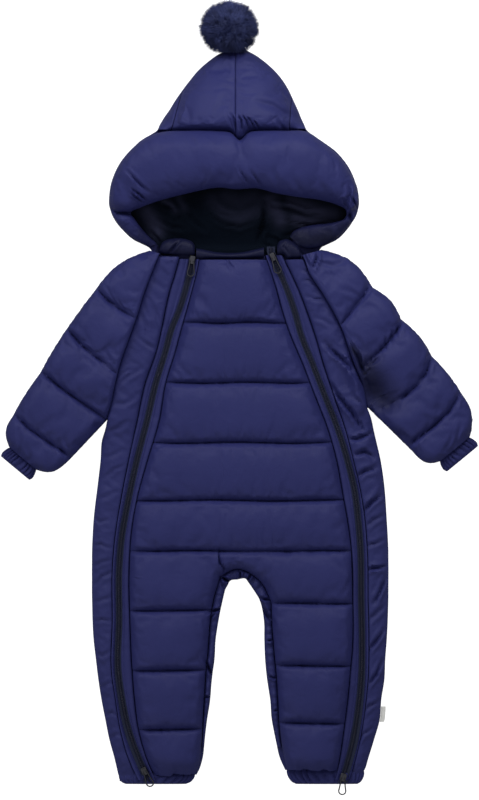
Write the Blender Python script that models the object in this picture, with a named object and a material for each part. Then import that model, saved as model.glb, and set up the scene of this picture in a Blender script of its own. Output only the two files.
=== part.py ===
"""Padded baby snowsuit with hood, laid flat on its back.

Real size, metres, +Z up. The suit lies on z = 0 with the hood towards +Y. The origin is on the
floor under the middle of the suit. Tables are in millimetres. Every panel is a padded wall: a
stack of cross sections, each a closed ring, joined one to the next. Front panels lie on the back
panel with a seam gap between them.
"""
import math

import bmesh
import bpy
import numpy as np

MM = 0.001
SEAM_GAP = 0.3            # parting between two sewn pieces

# ---- heights -----------------------------------------------------------------------------
BACK_THICK = 18.0         # height of the parting between back and front, on the body
HEM_PARTING = 8.0         # the same at the elastic hems
CUFF_PARTING = 12.0       # the same at the cuffs
EDGE_LIFT = 8.0           # thickness of a front panel at its seams
VALLEY_LIFT = 6.0         # how much a quilting seam stands above the panel's edge
PUFF_LIFT = 14.0          # how much a puff stands above its quilting seams
HEM_TAPER_TOP = -330.0    # y where the legs begin to thin towards the hem
HEM_Y_LEFT = -482.0       # top of the left elastic hem
HEM_Y_RIGHT = -476.0
HEM_END = -494.0

# ---- outline of body and legs: y, left x, right x -------------------------------------------
SIDE_SEAM = [
    (-8, -164, 164), (-24, -169, 170), (-38, -172, 173), (-51, -176, 176), (-77, -178, 182),
    (-103, -181, 186), (-154, -187, 190), (-192, -189, 192), (-257, -189, 192), (-308, -187, 190),
    (-334, -184, 188), (-359, -181, 187), (-385, -177, 183), (-411, -172, 181), (-436, -167, 174),
    (-462, -160, 166), (-475, -157, 162), (-488, -154, 153),
]
# inside leg, outer edge of the crotch strip: y, left leg x, right leg x
INSIDE_LEG = [
    (-257, -21, 26), (-282, -26, 30), (-308, -30, 31), (-334, -31, 33), (-359, -35, 36),
    (-385, -37, 40), (-411, -41, 42), (-436, -44, 47), (-462, -47, 53), (-475, -51, 59),
    (-488, -58, 65),
]
# seam between front panel and crotch strip: y, left leg x, right leg x
INSEAM = [
    (-227, -24, 34), (-257, -33, 41), (-282, -37, 42), (-321, -40, 45), (-353, -43, 48),
    (-385, -45, 50), (-421, -47, 52), (-445, -48.5, 55), (-475, -53, 62), (-488, -60, 67),
]
# raglan seams: y, left x, right x
RAGLAN = [
    (196, -99, 77), (177, -107, 86), (167, -111, 89), (135, -123, 109), (109, -131, 124),
    (95, -136, 131), (64, -147, 142), (50, -152, 147), (19, -160, 159), (-7, -165, 164),
    (-24, -169, 168),
]
# zip lines: y, then x of outer placket edge, coil and inner placket edge
LEFT_ZIP = [
    (186, -76, -59, -50), (160, -83, -64, -55), (141, -89, -69, -60), (115, -95, -77, -67),
    (90, -100, -87, -74), (64, -106, -94, -81), (21, -121, -107, -94), (-26, -131, -118, -102),
    (-77, -142, -131, -117), (-128, -152, -142, -131), (-180, -160, -151, -139),
    (-218, -163, -154, -141), (-282, -163, -154, -140), (-349, -164, -155, -137),
    (-385, -159, -150, -134), (-423, -153, -142, -129), (-462, -142, -128, -118),
    (-491, -129, -115, -106),
]
RIGHT_ZIP = [
    (190, 54, 41, 32), (167, 65, 51, 40), (141, 77, 62, 48), (115, 87, 71, 55),
    (83, 98, 80, 66), (45, 109, 95, 82), (6, 122, 110, 97), (-38, 137, 127, 114),
    (-77, 147, 139, 125), (-115, 156, 148, 132), (-154, 162, 153, 139), (-192, 165, 156, 144),
    (-257, 166, 157, 146), (-308, 167, 158, 146), (-359, 166, 157, 142), (-398, 162, 153, 138),
    (-436, 156, 147, 133), (-468, 148, 139, 128), (-491, 141, 132, 123),
]
# quilting seams of the front: y at the left edge, y at the right edge
FRONT_QUILTS = [
    (180, 180), (99, 99), (22, 22), (-55, -55), (-129, -129), (-194, -194),
    (-270, -261), (-347, -341), (-423, -415), (HEM_Y_LEFT, HEM_Y_RIGHT),
]
TORSO_ROWS = 5            # quilting rows above the crotch rows
# upper edge of the crotch, left to right: x, y
CROTCH_ARC = [(-24, -227), (-5, -217), (12, -221), (30, -236), (41, -258)]
PUFF_STEPS = (0.0, 0.14, 0.38, 0.62, 0.86)   # sections within one quilting row
LEG_COLUMNS = (0.0, 0.07, 0.25, 0.5, 0.75, 0.93, 1.0)

# lower edge of the crotch strip below each point of that arc but the last: x, y
CROTCH_UNDER = [(-14, -239.5), (-5, -232), (8, -230.5), (18, -238)]

# side fronts: y, height of the fold over the panel's edge at the outer half and the inner half
SIDE_FOLDS = [
    (184, 5, 7), (170, 10, 9), (150, 15, 12), (128, 12, 9), (106, 16, 13), (84, 13, 9),
    (62, 17, 12), (44, 12, 10), (24, 17, 13), (6, 13, 9), (-12, 18, 12), (-30, 13, 10),
    (-50, 19, 13), (-72, 15, 10), (-96, 20, 14), (-118, 16, 11), (-142, 20, 14), (-166, 17, 12),
    (-192, 21, 14), (-222, 18, 13), (-252, 21, 14), (-284, 18, 12), (-316, 21, 14),
    (-350, 17, 12), (-384, 19, 13), (-412, 16, 11), (-440, 15, 11), (-464, 10, 8), (-481, 5, 5),
]
SIDE_COLUMNS = (0.0, 0.07, 0.22, 0.5, 0.78, 1.0)

# back: quilting seams that notch its side edges
BACK_QUILTS = [248, 182, 104, 28, -50, -122, -150, -186, -221, -282, -350, -420, -480]
BACK_NECK_Y = 194.6       # seam between back and hood

# sleeves, from neck corner to cuff: outer fold x, y and raglan or under-arm x, y at each
# quilting seam, then the parting height there and the lift of the puff that follows it
LEFT_SLEEVE = [
    (-115, 192, -102, 188, 18, 10), (-185, 141, -131, 109, 18, 17), (-223, 89, -154, 44, 17, 19),
    (-256, 34, -169, -25, 16, 19), (-291, -21, -218, -77, 14, 17), (-296, -60, -260, -90, 12, 8),
]
RIGHT_SLEEVE = [
    (106, 193, 82, 186, 18, 10), (172, 144, 131, 94, 18, 17), (208, 104, 158, 22, 17, 19),
    (248, 56, 166, -10, 16, 19), (287, 7, 222, -65, 14, 17), (297, -47, 258, -79, 12, 8),
]
# bow of the outer fold between two quilting seams, outwards, and of the last under-arm row
LEFT_BOW = (9.0, 0.5, 1.0, 1.5, 6.0)
RIGHT_BOW = (11.0, 6.0, 4.0, 2.0, 7.0)
UNDER_ARM_BOW = 8.0
SLEEVE_OPEN_ROWS = 3      # quilting rows that end at the raglan seam; the rest close under the arm
SLEEVE_COLUMNS = (0.0, 0.05, 0.16, 0.34, 0.54, 0.74, 0.9, 0.97, 1.0)

# hood brim, from left neck corner over the top to the right one: outer edge x, y, inner edge
# x, y, then height of the middle, bulge above it and bulge below it
BRIM = [
    (-116, 196, -106, 201, 22, 7, 7.4),
    (-131, 205, -116, 210, 25, 11, 10.4),
    (-148, 217, -128, 224, 28, 16, 13.4),
    (-159, 230, -135, 234, 30, 20, 15.4),
    (-165, 243, -139, 239, 31, 12, 16.4),
    (-167, 257, -136, 243, 36, 26, 21.4),
    (-163, 282, -126, 247, 40, 30, 25.4),
    (-150, 308, -113, 252, 44, 33, 29),
    (-127, 331, -97, 257, 49, 34, 31),
    (-101, 343, -73, 263, 54, 34, 28),
    (-69, 345, -47, 269, 57, 33, 20),
    (-36, 345, -26, 272, 59, 32, 15),
    (-4, 344, -3, 270, 59, 29, 15),
    (28, 345, 23, 271, 59, 32, 15),
    (60, 345, 47, 265, 57, 33, 20),
    (86, 344, 76, 260, 54, 34, 28),
    (108, 330, 100, 257, 49, 34, 31),
    (130, 311, 118, 253, 44, 33, 29),
    (142, 293, 129, 249, 40, 31, 25.4),
    (151, 275, 136, 245, 37, 28, 22.4),
    (154, 257, 138, 240, 36, 25, 21.4),
    (153, 245, 137, 236, 31, 13, 16.4),
    (148, 232, 132, 231, 30, 19, 15.4),
    (136, 218, 115, 227, 28, 18, 13.4),
    (121, 205, 96, 225, 27, 17, 12.4),
    (105, 197, 81, 222, 25, 15, 10.4),
    (91, 194, 70, 217, 24, 12, 9.4),
    (80, 196, 65, 210, 23, 8, 6),
]
BRIM_RING = 14            # points round the brim's section

# crown of the hood: y, left x, right x of the outline, height on the centre seam
CROWN = [
    (444, -27, 20, 35), (437, -37, 30, 39), (423, -53, 46, 45), (411, -63, 56, 52),
    (398, -73, 64, 59), (385, -82, 70, 65), (372, -90, 76, 71), (362, -97, 80, 75),
    (353, -102, 84, 75), (347, -104, 86, 70),
]
CROWN_EDGE = 17.0         # height of the crown's outline above the floor
CROWN_WALL = 13.0
CENTRE_SEAM_X = -4.5
# side gussets of the crown: y of point, x of point, x at the brim
GUSSET_LEFT = (397, -73, -86.5)
GUSSET_RIGHT = (392, 67.5, 64.5)

# outline of the hood's back: y, left x, right x
HOOD_BACK = [
    (444, -27, 20), (437, -37, 30), (423, -53, 46), (411, -63, 56), (398, -73, 64),
    (385, -82, 70), (372, -90, 76), (359, -98, 81), (346, -106, 88), (334, -126, 105),
    (321, -139, 123), (308, -150, 135), (282, -163, 149), (257, -166, 153), (244, -165, 152),
    (231, -158, 147), (218, -149, 138), (205, -134, 124), (195, -112, 102),
]
HOOD_BACK_THICK = 14.0

# lining seen in the face opening: y, left x, right x, lift over its edge
LINING = [
    (300, -80, 72, 2), (280, -100, 92, 6), (262, -118, 112, 12), (245, -128, 128, 15),
    (230, -122, 116, 13), (219, -110, 76, 8), (210, -98, 60, 2), (196, -96, 62, 0.4),
]

# collar bands, west to east: x, lower y, upper y, top height
COLLAR_FRONT = [
    (-52, 182, 193, 34), (-42, 181, 192, 35), (-30, 181, 190.5, 37), (-17, 181, 190, 38),
    (-5, 181, 191, 37), (8, 181, 192, 38), (19, 182, 194, 36), (29, 183, 197, 34),
]
COLLAR_LEFT = [
    (-98, 188.5, 195, 28), (-92, 188, 202, 34), (-84, 187, 206, 37), (-75, 186.5, 207, 38),
    (-66, 186, 203, 37), (-57, 186, 198, 33),
]
COLLAR_RIGHT = [
    (49, 187, 197, 33), (57.5, 187, 203, 36), (63, 181.6, 204, 37), (69, 181.5, 199, 36),
    (76, 181.5, 192, 33), (80, 182.5, 188, 28),
]

# pompom
POMPOM_AT = (-12.5, 477.5, 37.0)
POMPOM_REACH = 36.5
POMPOM_CORE = 26.0
POMPOM_GRID = 6           # locks along one side of each of the six faces of the core
POMPOM_OVER_FLOOR = 0.8   # lowest tip of a lock

COIL_WIDTH = 5.0
COIL_HEIGHT = 1.8
TAPE_HALF = 4.2
TAPE_THICK = 1.5
ZIP_SECTIONS = 30
ZIP_END_SHOWN = 3.0       # how far the tape runs on past its plackets

# zip sliders: zip, y, length of pull, side swing of the pull in degrees
SLIDERS = {
    "top_left": ("left", 180, 22.0, 4.0),
    "top_right": ("right", 184, 23.0, -4.0),
    "hem_left": ("left", -477, 22.0, 0.0),
    "hem_right": ("right", -485, 23.0, 14.0),
}
SLIDER_LENGTH = 10.0
SLIDER_WIDTH = 7.6
SLIDER_PLATE = 1.6
ARCH_LENGTH = 7.0
ARCH_WIDTH = 1.8
ARCH_HOLE = 2.8
ARCH_BAR = 1.3
PULL_WIRE = 1.7

LABEL_ROWS = (-394.0, -404.0, -414.0)

# colours (linear)
NAVY = (0.030, 0.033, 0.125, 1.0)
NAVY_DARK = (0.006, 0.009, 0.020, 1.0)
TAPE = (0.020, 0.022, 0.060, 1.0)
FUR = (0.012, 0.018, 0.070, 1.0)
METAL = (0.080, 0.082, 0.095, 1.0)
WHITE = (0.720, 0.720, 0.700, 1.0)


def clear_scene():
    for item in list(bpy.data.objects):
        bpy.data.objects.remove(item, do_unlink=True)


def material(name, colour, roughness, metallic=0.0):
    made = bpy.data.materials.new(name)
    made.use_nodes = True
    shader = made.node_tree.nodes["Principled BSDF"]
    shader.inputs["Base Color"].default_value = colour
    shader.inputs["Roughness"].default_value = roughness
    shader.inputs["Metallic"].default_value = metallic
    return made


def smooth_curve(table, column):
    """A smooth function of the table's first column (y), through the rows of one column."""
    rows = sorted(table)
    ys = np.array([row[0] for row in rows], float)
    xs = np.array([row[column] for row in rows], float)
    slopes = np.gradient(xs, ys)

    def value(y):
        y = float(np.clip(y, ys[0], ys[-1]))
        k = int(np.clip(np.searchsorted(ys, y) - 1, 0, len(ys) - 2))
        span = ys[k + 1] - ys[k]
        u = (y - ys[k]) / span
        return ((1 + 2 * u) * (1 - u) ** 2 * xs[k] + u * (1 - u) ** 2 * span * slopes[k]
                + u * u * (3 - 2 * u) * xs[k + 1] + u * u * (u - 1) * span * slopes[k + 1])

    return value


def smooth_rows(rows, steps):
    """Rows of numbers with steps - 1 smooth rows put between each two."""
    rows = np.array(rows, float)
    slopes = np.gradient(rows, axis=0)
    made = []
    for k in range(len(rows) - 1):
        for i in range(steps):
            u = i / steps
            made.append((1 + 2 * u) * (1 - u) ** 2 * rows[k] + u * (1 - u) ** 2 * slopes[k]
                        + u * u * (3 - 2 * u) * rows[k + 1] + u * u * (u - 1) * slopes[k + 1])
    made.append(rows[-1])
    return made


class Solid:
    """Collects points (mm) and faces, then becomes one named object."""

    def __init__(self, name, finish):
        self.name = name
        self.finish = finish
        self.points = []
        self.faces = []

    def ring(self, points):
        first = len(self.points)
        self.points.extend(points)
        return list(range(first, len(self.points)))

    def bridge(self, one, two, closed=True):
        count = len(one)
        for k in range(count if closed else count - 1):
            n = (k + 1) % count
            self.faces.append((one[k], one[n], two[n], two[k]))

    def face(self, loop):
        self.faces.append(tuple(loop))

    def loft(self, rings):
        loops = [self.ring(points) for points in rings]
        for one, two in zip(loops, loops[1:]):
            self.bridge(one, two)
        self.face(reversed(loops[0]))
        self.face(loops[-1])
        return loops

    def build(self, sharp_angle=50.0):
        mesh = bpy.data.meshes.new(self.name)
        shape = bmesh.new()
        made = [shape.verts.new(np.array(point, float) * MM) for point in self.points]
        for loop in self.faces:
            shape.faces.new([made[k] for k in loop])
        bmesh.ops.recalc_face_normals(shape, faces=shape.faces)
        shape.to_mesh(mesh)
        shape.free()
        mesh.shade_smooth()
        mesh.set_sharp_from_angle(angle=math.radians(sharp_angle))
        mesh.materials.append(self.finish)
        thing = bpy.data.objects.new(self.name, mesh)
        bpy.context.scene.collection.objects.link(thing)
        return thing


def parting(y):
    """Height of the parting between the back and the front layers of body and legs."""
    if y >= HEM_TAPER_TOP:
        return BACK_THICK
    u = (HEM_TAPER_TOP - y) / (HEM_TAPER_TOP - HEM_Y_LEFT)
    return BACK_THICK + (HEM_PARTING - BACK_THICK) * min(u, 1.0)


def hem_thinning(y):
    """1 on the body, falling to 0.35 at the elastic hem."""
    u = np.clip((y - HEM_Y_LEFT) / 60.0, 0.0, 1.0)
    return 0.35 + 0.65 * math.sin(u * math.pi / 2)


def crowned(t, edge=4.0):
    """0 at both ends of a section, 1 over its middle."""
    return (1.0 - abs(2.0 * t - 1.0) ** edge) ** 0.75


def puff(u):
    """0 at a quilting seam, 1 in the middle of a row."""
    return 1.0 - abs(2.0 * (u % 1.0) - 1.0) ** 2.5


def quilt_place(x, y):
    """How many quilting rows of the front lie above the point, with its fraction."""
    share = np.clip((x + 141.0) / 287.0, 0.0, 1.0)
    seams = [left + (right - left) * share for left, right in FRONT_QUILTS]
    for k in range(len(seams) - 1):
        if y >= seams[k + 1]:
            return k + min(1.0, (seams[k] - y) / (seams[k] - seams[k + 1]))
    return float(len(seams) - 1)


def front_panel(finish):
    """Y-shaped quilted front: five rows across the body, then each leg by itself."""
    left_edge = smooth_curve(LEFT_ZIP, 3)
    right_edge = smooth_curve(RIGHT_ZIP, 3)
    left_inseam = smooth_curve(INSEAM, 1)
    right_inseam = smooth_curve(INSEAM, 2)
    legs = len(LEG_COLUMNS)
    first_arc = legs - 1
    last_arc = first_arc + len(CROTCH_ARC) - 1
    columns = last_arc + legs
    solid = Solid("front_panel", finish)

    def height(x, y, rise):
        lift = EDGE_LIFT + rise * (VALLEY_LIFT + PUFF_LIFT * puff(quilt_place(x, y)))
        return parting(y) + SEAM_GAP + lift * hem_thinning(y)

    def lower(points, keep):
        return [(points[k][0], points[k][1], parting(points[k][1]) + SEAM_GAP) for k in keep]

    kept = [0] + list(range(first_arc, last_arc + 1)) + [columns - 1]
    left_share = (CROTCH_ARC[0][0] - left_edge(-194)) / (right_edge(-194) - left_edge(-194))
    right_share = (CROTCH_ARC[-1][0] - left_edge(-194)) / (right_edge(-194) - left_edge(-194))
    shares = [t * left_share for t in LEG_COLUMNS]
    shares += [left_share + (right_share - left_share) * k / (last_arc - first_arc)
               for k in range(1, last_arc - first_arc)]
    shares += [right_share + t * (1 - right_share) for t in LEG_COLUMNS]

    rows = []
    for row in range(TORSO_ROWS):
        top, bottom = FRONT_QUILTS[row][0], FRONT_QUILTS[row + 1][0]
        rows += [top + (bottom - top) * u for u in PUFF_STEPS]
    rows.append(FRONT_QUILTS[TORSO_ROWS][0])
    sections = []
    for y in rows:
        x0 = left_edge(y) + SEAM_GAP
        x1 = right_edge(y) - SEAM_GAP
        places = [(x0 + (x1 - x0) * t, y) for t in shares]
        sections.append([(x, y, height(x, y, crowned(t))) for (x, y), t in zip(places, shares)])

    crotch = []
    y_left, y_right = CROTCH_ARC[0][1], CROTCH_ARC[-1][1]
    for t in LEG_COLUMNS:
        x0 = left_edge(y_left) + SEAM_GAP
        x = x0 + (CROTCH_ARC[0][0] - x0) * t
        crotch.append((x, y_left, height(x, y_left, crowned(t))))
    for x, y in CROTCH_ARC[1:-1]:
        crotch.append((x, y, height(x, y, 0.0)))
    for t in LEG_COLUMNS:
        x1 = right_edge(y_right) - SEAM_GAP
        x = CROTCH_ARC[-1][0] + (x1 - CROTCH_ARC[-1][0]) * t
        crotch.append((x, y_right, height(x, y_right, crowned(t))))
    last = sections[-1]
    for share, rise in ((0.3, 0.95), (0.65, 0.85)):
        between = []
        for k in range(columns):
            x = last[k][0] + (crotch[k][0] - last[k][0]) * share
            y = last[k][1] + (crotch[k][1] - last[k][1]) * share
            whole = crowned(shares[k])
            parted = 0.0 if first_arc < k < last_arc else crowned(
                LEG_COLUMNS[k] if k <= first_arc else LEG_COLUMNS[k - last_arc])
            blend = whole + (parted - whole) * share ** 2
            between.append((x, y, height(x, y, blend * rise)))
        sections.append(between)
    sections.append(crotch)

    loops = []
    for top in sections:
        upper = solid.ring(top)
        under = solid.ring(lower(top, kept))
        loops.append((upper, under))
    for (top_a, low_a), (top_b, low_b) in zip(loops, loops[1:]):
        solid.bridge(top_a + low_a[::-1], top_b + low_b[::-1])
    solid.face(loops[0][0] + loops[0][1][::-1])
    top, low = loops[-1]
    for k in range(first_arc, last_arc):
        n = k - first_arc + 1
        solid.face((top[k], top[k + 1], low[n + 1], low[n]))

    def leg(start_top, start_low, outer, inner, side):
        loop = start_top + start_low[::-1]
        marks = [pair[side] for pair in FRONT_QUILTS]
        start = CROTCH_ARC[0][1] if side == 0 else CROTCH_ARC[-1][1]
        ys = []
        for row in range(TORSO_ROWS, len(marks) - 1):
            ys += [marks[row] + (marks[row + 1] - marks[row]) * u for u in PUFF_STEPS]
        ys = [y for y in ys if y < start - 6] + [marks[-1]]
        for y in ys:
            x0, x1 = outer(y), inner(y)
            step = SEAM_GAP if x1 > x0 else -SEAM_GAP
            x0, x1 = x0 + step, x1 - step
            points = []
            for t in LEG_COLUMNS:
                x = x0 + (x1 - x0) * t
                points.append((x, y, height(x, y, crowned(t))))
            if side == 1:
                points.reverse()
            upper = solid.ring(points)
            under = solid.ring(lower(points, (0, legs - 1)))
            new = upper + under[::-1]
            solid.bridge(loop, new)
            loop = new
        solid.face(loop)

    leg(top[:legs], [low[0], low[1]], left_edge, left_inseam, 0)
    leg(top[-legs:], [low[-2], low[-1]], right_edge, right_inseam, 1)
    return solid.build()


def side_front(name, finish, side):
    """Unquilted padded side front, from neck to hem, between zip and sleeve or side seam."""
    sign = -1 if side == "left" else 1
    column = 1 if side == "left" else 2
    raglan = smooth_curve(RAGLAN, column)
    seam = smooth_curve(SIDE_SEAM, column)
    placket = smooth_curve(LEFT_ZIP if side == "left" else RIGHT_ZIP, 1)
    armpit = -24 if side == "left" else -7
    rings = []
    for y, outer_lift, inner_lift in SIDE_FOLDS:
        y = min(y, 180.0 if side == "right" else 184.0)
        y = max(y, (HEM_Y_LEFT if side == "left" else HEM_Y_RIGHT) + 0.2)
        base = parting(y) + SEAM_GAP
        thin = hem_thinning(y)
        free = np.clip((armpit - y) / 24.0, 0.0, 1.0)
        outer = raglan(y) if y > armpit else seam(y)
        x0 = outer - sign * SEAM_GAP
        x1 = placket(y) + sign * SEAM_GAP
        lift_at_outer = 10.0 - 6.0 * free
        points = []
        for t in SIDE_COLUMNS:
            x = x0 + (x1 - x0) * t
            fold = outer_lift + (inner_lift - outer_lift) * t
            edge = lift_at_outer + (EDGE_LIFT - lift_at_outer) * t
            round_off = (1.0 - abs(2.0 * t - 1.0) ** 3.0) ** 0.6
            points.append((x, y, base + (edge + fold * round_off) * thin))
        points += [(x1, y, base), (x0, y, base)]
        rings.append(points)
    solid = Solid(name, finish)
    solid.loft(rings)
    return solid.build()


def back_panel(finish):
    """Back of body and legs in one piece, flat below, rolled up at its free edges."""
    solid = Solid("back_panel", finish)
    raglan = [smooth_curve(RAGLAN, k) for k in (1, 2)]
    side = [smooth_curve(SIDE_SEAM, k) for k in (1, 2)]
    inside = [smooth_curve(INSIDE_LEG, k) for k in (1, 2)]
    armpit = (-24, -7)
    crotch = [(-19, -246), (-12, -237), (6, -232), (17, -238), (24, -249)]
    roll = ((0.0, 8.0), (5.0, 2.6), (15.0, 0.0))      # distance in from the edge, height

    def outline(y, which):
        free = y <= armpit[which]
        x = side[which](y) if free else raglan[which](y)
        return x, (1.0 if free else 0.12)

    def edge_points(x, y, curl, inward):
        notch = 2.0 * curl * math.exp(-min(abs(y - q) for q in BACK_QUILTS) / 4.0)
        return [(x + inward * (distance + notch), y, lift * curl * parting(y) / BACK_THICK)
                for distance, lift in roll]

    def top_z(y):
        return parting(y)

    body_rows = [BACK_NECK_Y]
    for high, low in zip(BACK_QUILTS[1:], BACK_QUILTS[2:]):
        if high > -180:
            body_rows += [high - 4, (high + low) / 2, low + 4, low]
    body_rows += [188, 186, 177, 168, 155, 130, 118, 80, 52, 4, -10]
    body_rows = sorted({y for y in body_rows if -200 < y <= BACK_NECK_Y}, reverse=True)
    arc_count = len(crotch)
    rings = []
    for y in body_rows:
        (xl, curl_l), (xr, curl_r) = outline(y, 0), outline(y, 1)
        xl += SEAM_GAP * (1 if curl_l < 1 else 0)
        xr -= SEAM_GAP * (1 if curl_r < 1 else 0)
        width = xr - xl
        mids = [xl + width * (0.42 + 0.2 * k / (arc_count - 1)) for k in range(arc_count)]
        top = [(xl, y, top_z(y))] + [(x, y, top_z(y)) for x in mids] + [(xr, y, top_z(y))]
        bottom = edge_points(xl, y, curl_l, 1)
        bottom += [(mids[0] - 30 + 13 * k, y, 0.0) for k in range(2)]
        bottom += [(x, y, 0.0) for x in mids]
        bottom += [(mids[-1] + 17 + 13 * k, y, 0.0) for k in range(2)]
        bottom += edge_points(xr, y, curl_r, -1)[::-1]
        rings.append((top, bottom))
    y_left, y_right = crotch[0][1], crotch[-1][1]
    xl, xr = side[0](y_left), side[1](y_right)
    top = [(xl, y_left, top_z(y_left))] + [(x, y, top_z(y)) for x, y in crotch]
    top += [(xr, y_right, top_z(y_right))]
    bottom = edge_points(xl, y_left, 1.0, 1)
    bottom += edge_points(crotch[0][0], y_left, 1.0, -1)[:0:-1]
    bottom += [(x, y, 8.0) for x, y in crotch]
    bottom += edge_points(crotch[-1][0], y_right, 1.0, 1)[1:]
    bottom += edge_points(xr, y_right, 1.0, -1)[::-1]
    rings.append((top, bottom))

    loops = [(solid.ring(top), solid.ring(bottom)) for top, bottom in rings]
    for (top_a, low_a), (top_b, low_b) in zip(loops, loops[1:]):
        solid.bridge(top_a + low_a[::-1], top_b + low_b[::-1])
    solid.face(loops[0][0] + loops[0][1][::-1])
    top, low = loops[-1]
    for k in range(arc_count - 1):
        solid.face((top[1 + k], top[2 + k], low[6 + k], low[5 + k]))

    def leg(top_loop, low_loop, which, sign):
        loop = top_loop + low_loop[::-1]
        start = crotch[0][1] if which == 0 else crotch[-1][1]
        end = HEM_Y_LEFT if which == 0 else HEM_Y_RIGHT
        marks = [q for q in BACK_QUILTS if q < start - 12]
        ys = []
        above = start
        for mark in marks:
            ys += [(above + mark) / 2, mark + 4, mark]
            above = mark
        ys = sorted({y for y in ys if y > end + 3} | {end}, reverse=True)
        for y in ys:
            outer, inner = side[which](y), inside[which](y)
            points = [(outer, y, top_z(y)), (inner, y, top_z(y))]
            under = edge_points(outer, y, 1.0, sign) + edge_points(inner, y, 1.0, -sign)[::-1]
            if which == 1:
                points.reverse()
                under.reverse()
            new = solid.ring(points) + solid.ring(under)[::-1]
            solid.bridge(loop, new)
            loop = new
        solid.face(loop)

    leg(top[:2], low[:6], 0, 1)
    leg(top[-2:], low[-6:], 1, -1)
    return solid.build()


def crotch_strip(finish):
    """Puckered strip round the crotch and down both inside legs, on the back panel."""
    inseam = [smooth_curve(INSEAM, k) for k in (1, 2)]
    inside = [smooth_curve(INSIDE_LEG, k) for k in (1, 2)]
    low_end = -446.0
    path = []
    for y in np.linspace(low_end, -272, 10):
        path.append((inseam[0](y), y, inside[0](y), y))
    path += [(inseam[0](-250), -250, -19.5, -251)]
    path += [(x, y, *CROTCH_UNDER[k]) for k, (x, y) in enumerate(CROTCH_ARC[:-1])]
    path += [(inseam[1](-258), -258, 26.4, -257)]
    for y in np.linspace(-272, low_end, 10):
        path.append((inseam[1](y), y, inside[1](y), y))
    rows = []
    for one, two in zip(path, path[1:]):
        rows += [np.array(one) + (np.array(two) - np.array(one)) * u for u in (0.0, 0.5)]
    rows.append(np.array(path[-1]))
    rings = []
    for k, (xs, ys, xe, ye) in enumerate(rows):
        direction = np.array([xe - xs, ye - ys])
        width = np.linalg.norm(direction)
        direction /= width
        start = np.array([xs, ys]) + direction * SEAM_GAP * 1.6
        base = parting(ys) + SEAM_GAP
        ends = min(k, len(rows) - 1 - k)
        full = min(1.0, 0.35 + 0.25 * ends)
        pucker = 1.6 if k % 2 else 0.0
        ring = []
        for share, lift in ((0.0, 7.5), (0.3, 11.5 + pucker), (0.7, 10.5 + pucker), (1.0, 5.0)):
            x, y = start + direction * (width - SEAM_GAP) * share
            ring.append((x, y, base + lift * full))
        x, y = start + direction * (width - SEAM_GAP)
        ring += [(x, y, base), (start[0], start[1], base)]
        rings.append(ring)
    solid = Solid("crotch_strip", finish)
    solid.loft(rings)
    return solid.build()


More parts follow.
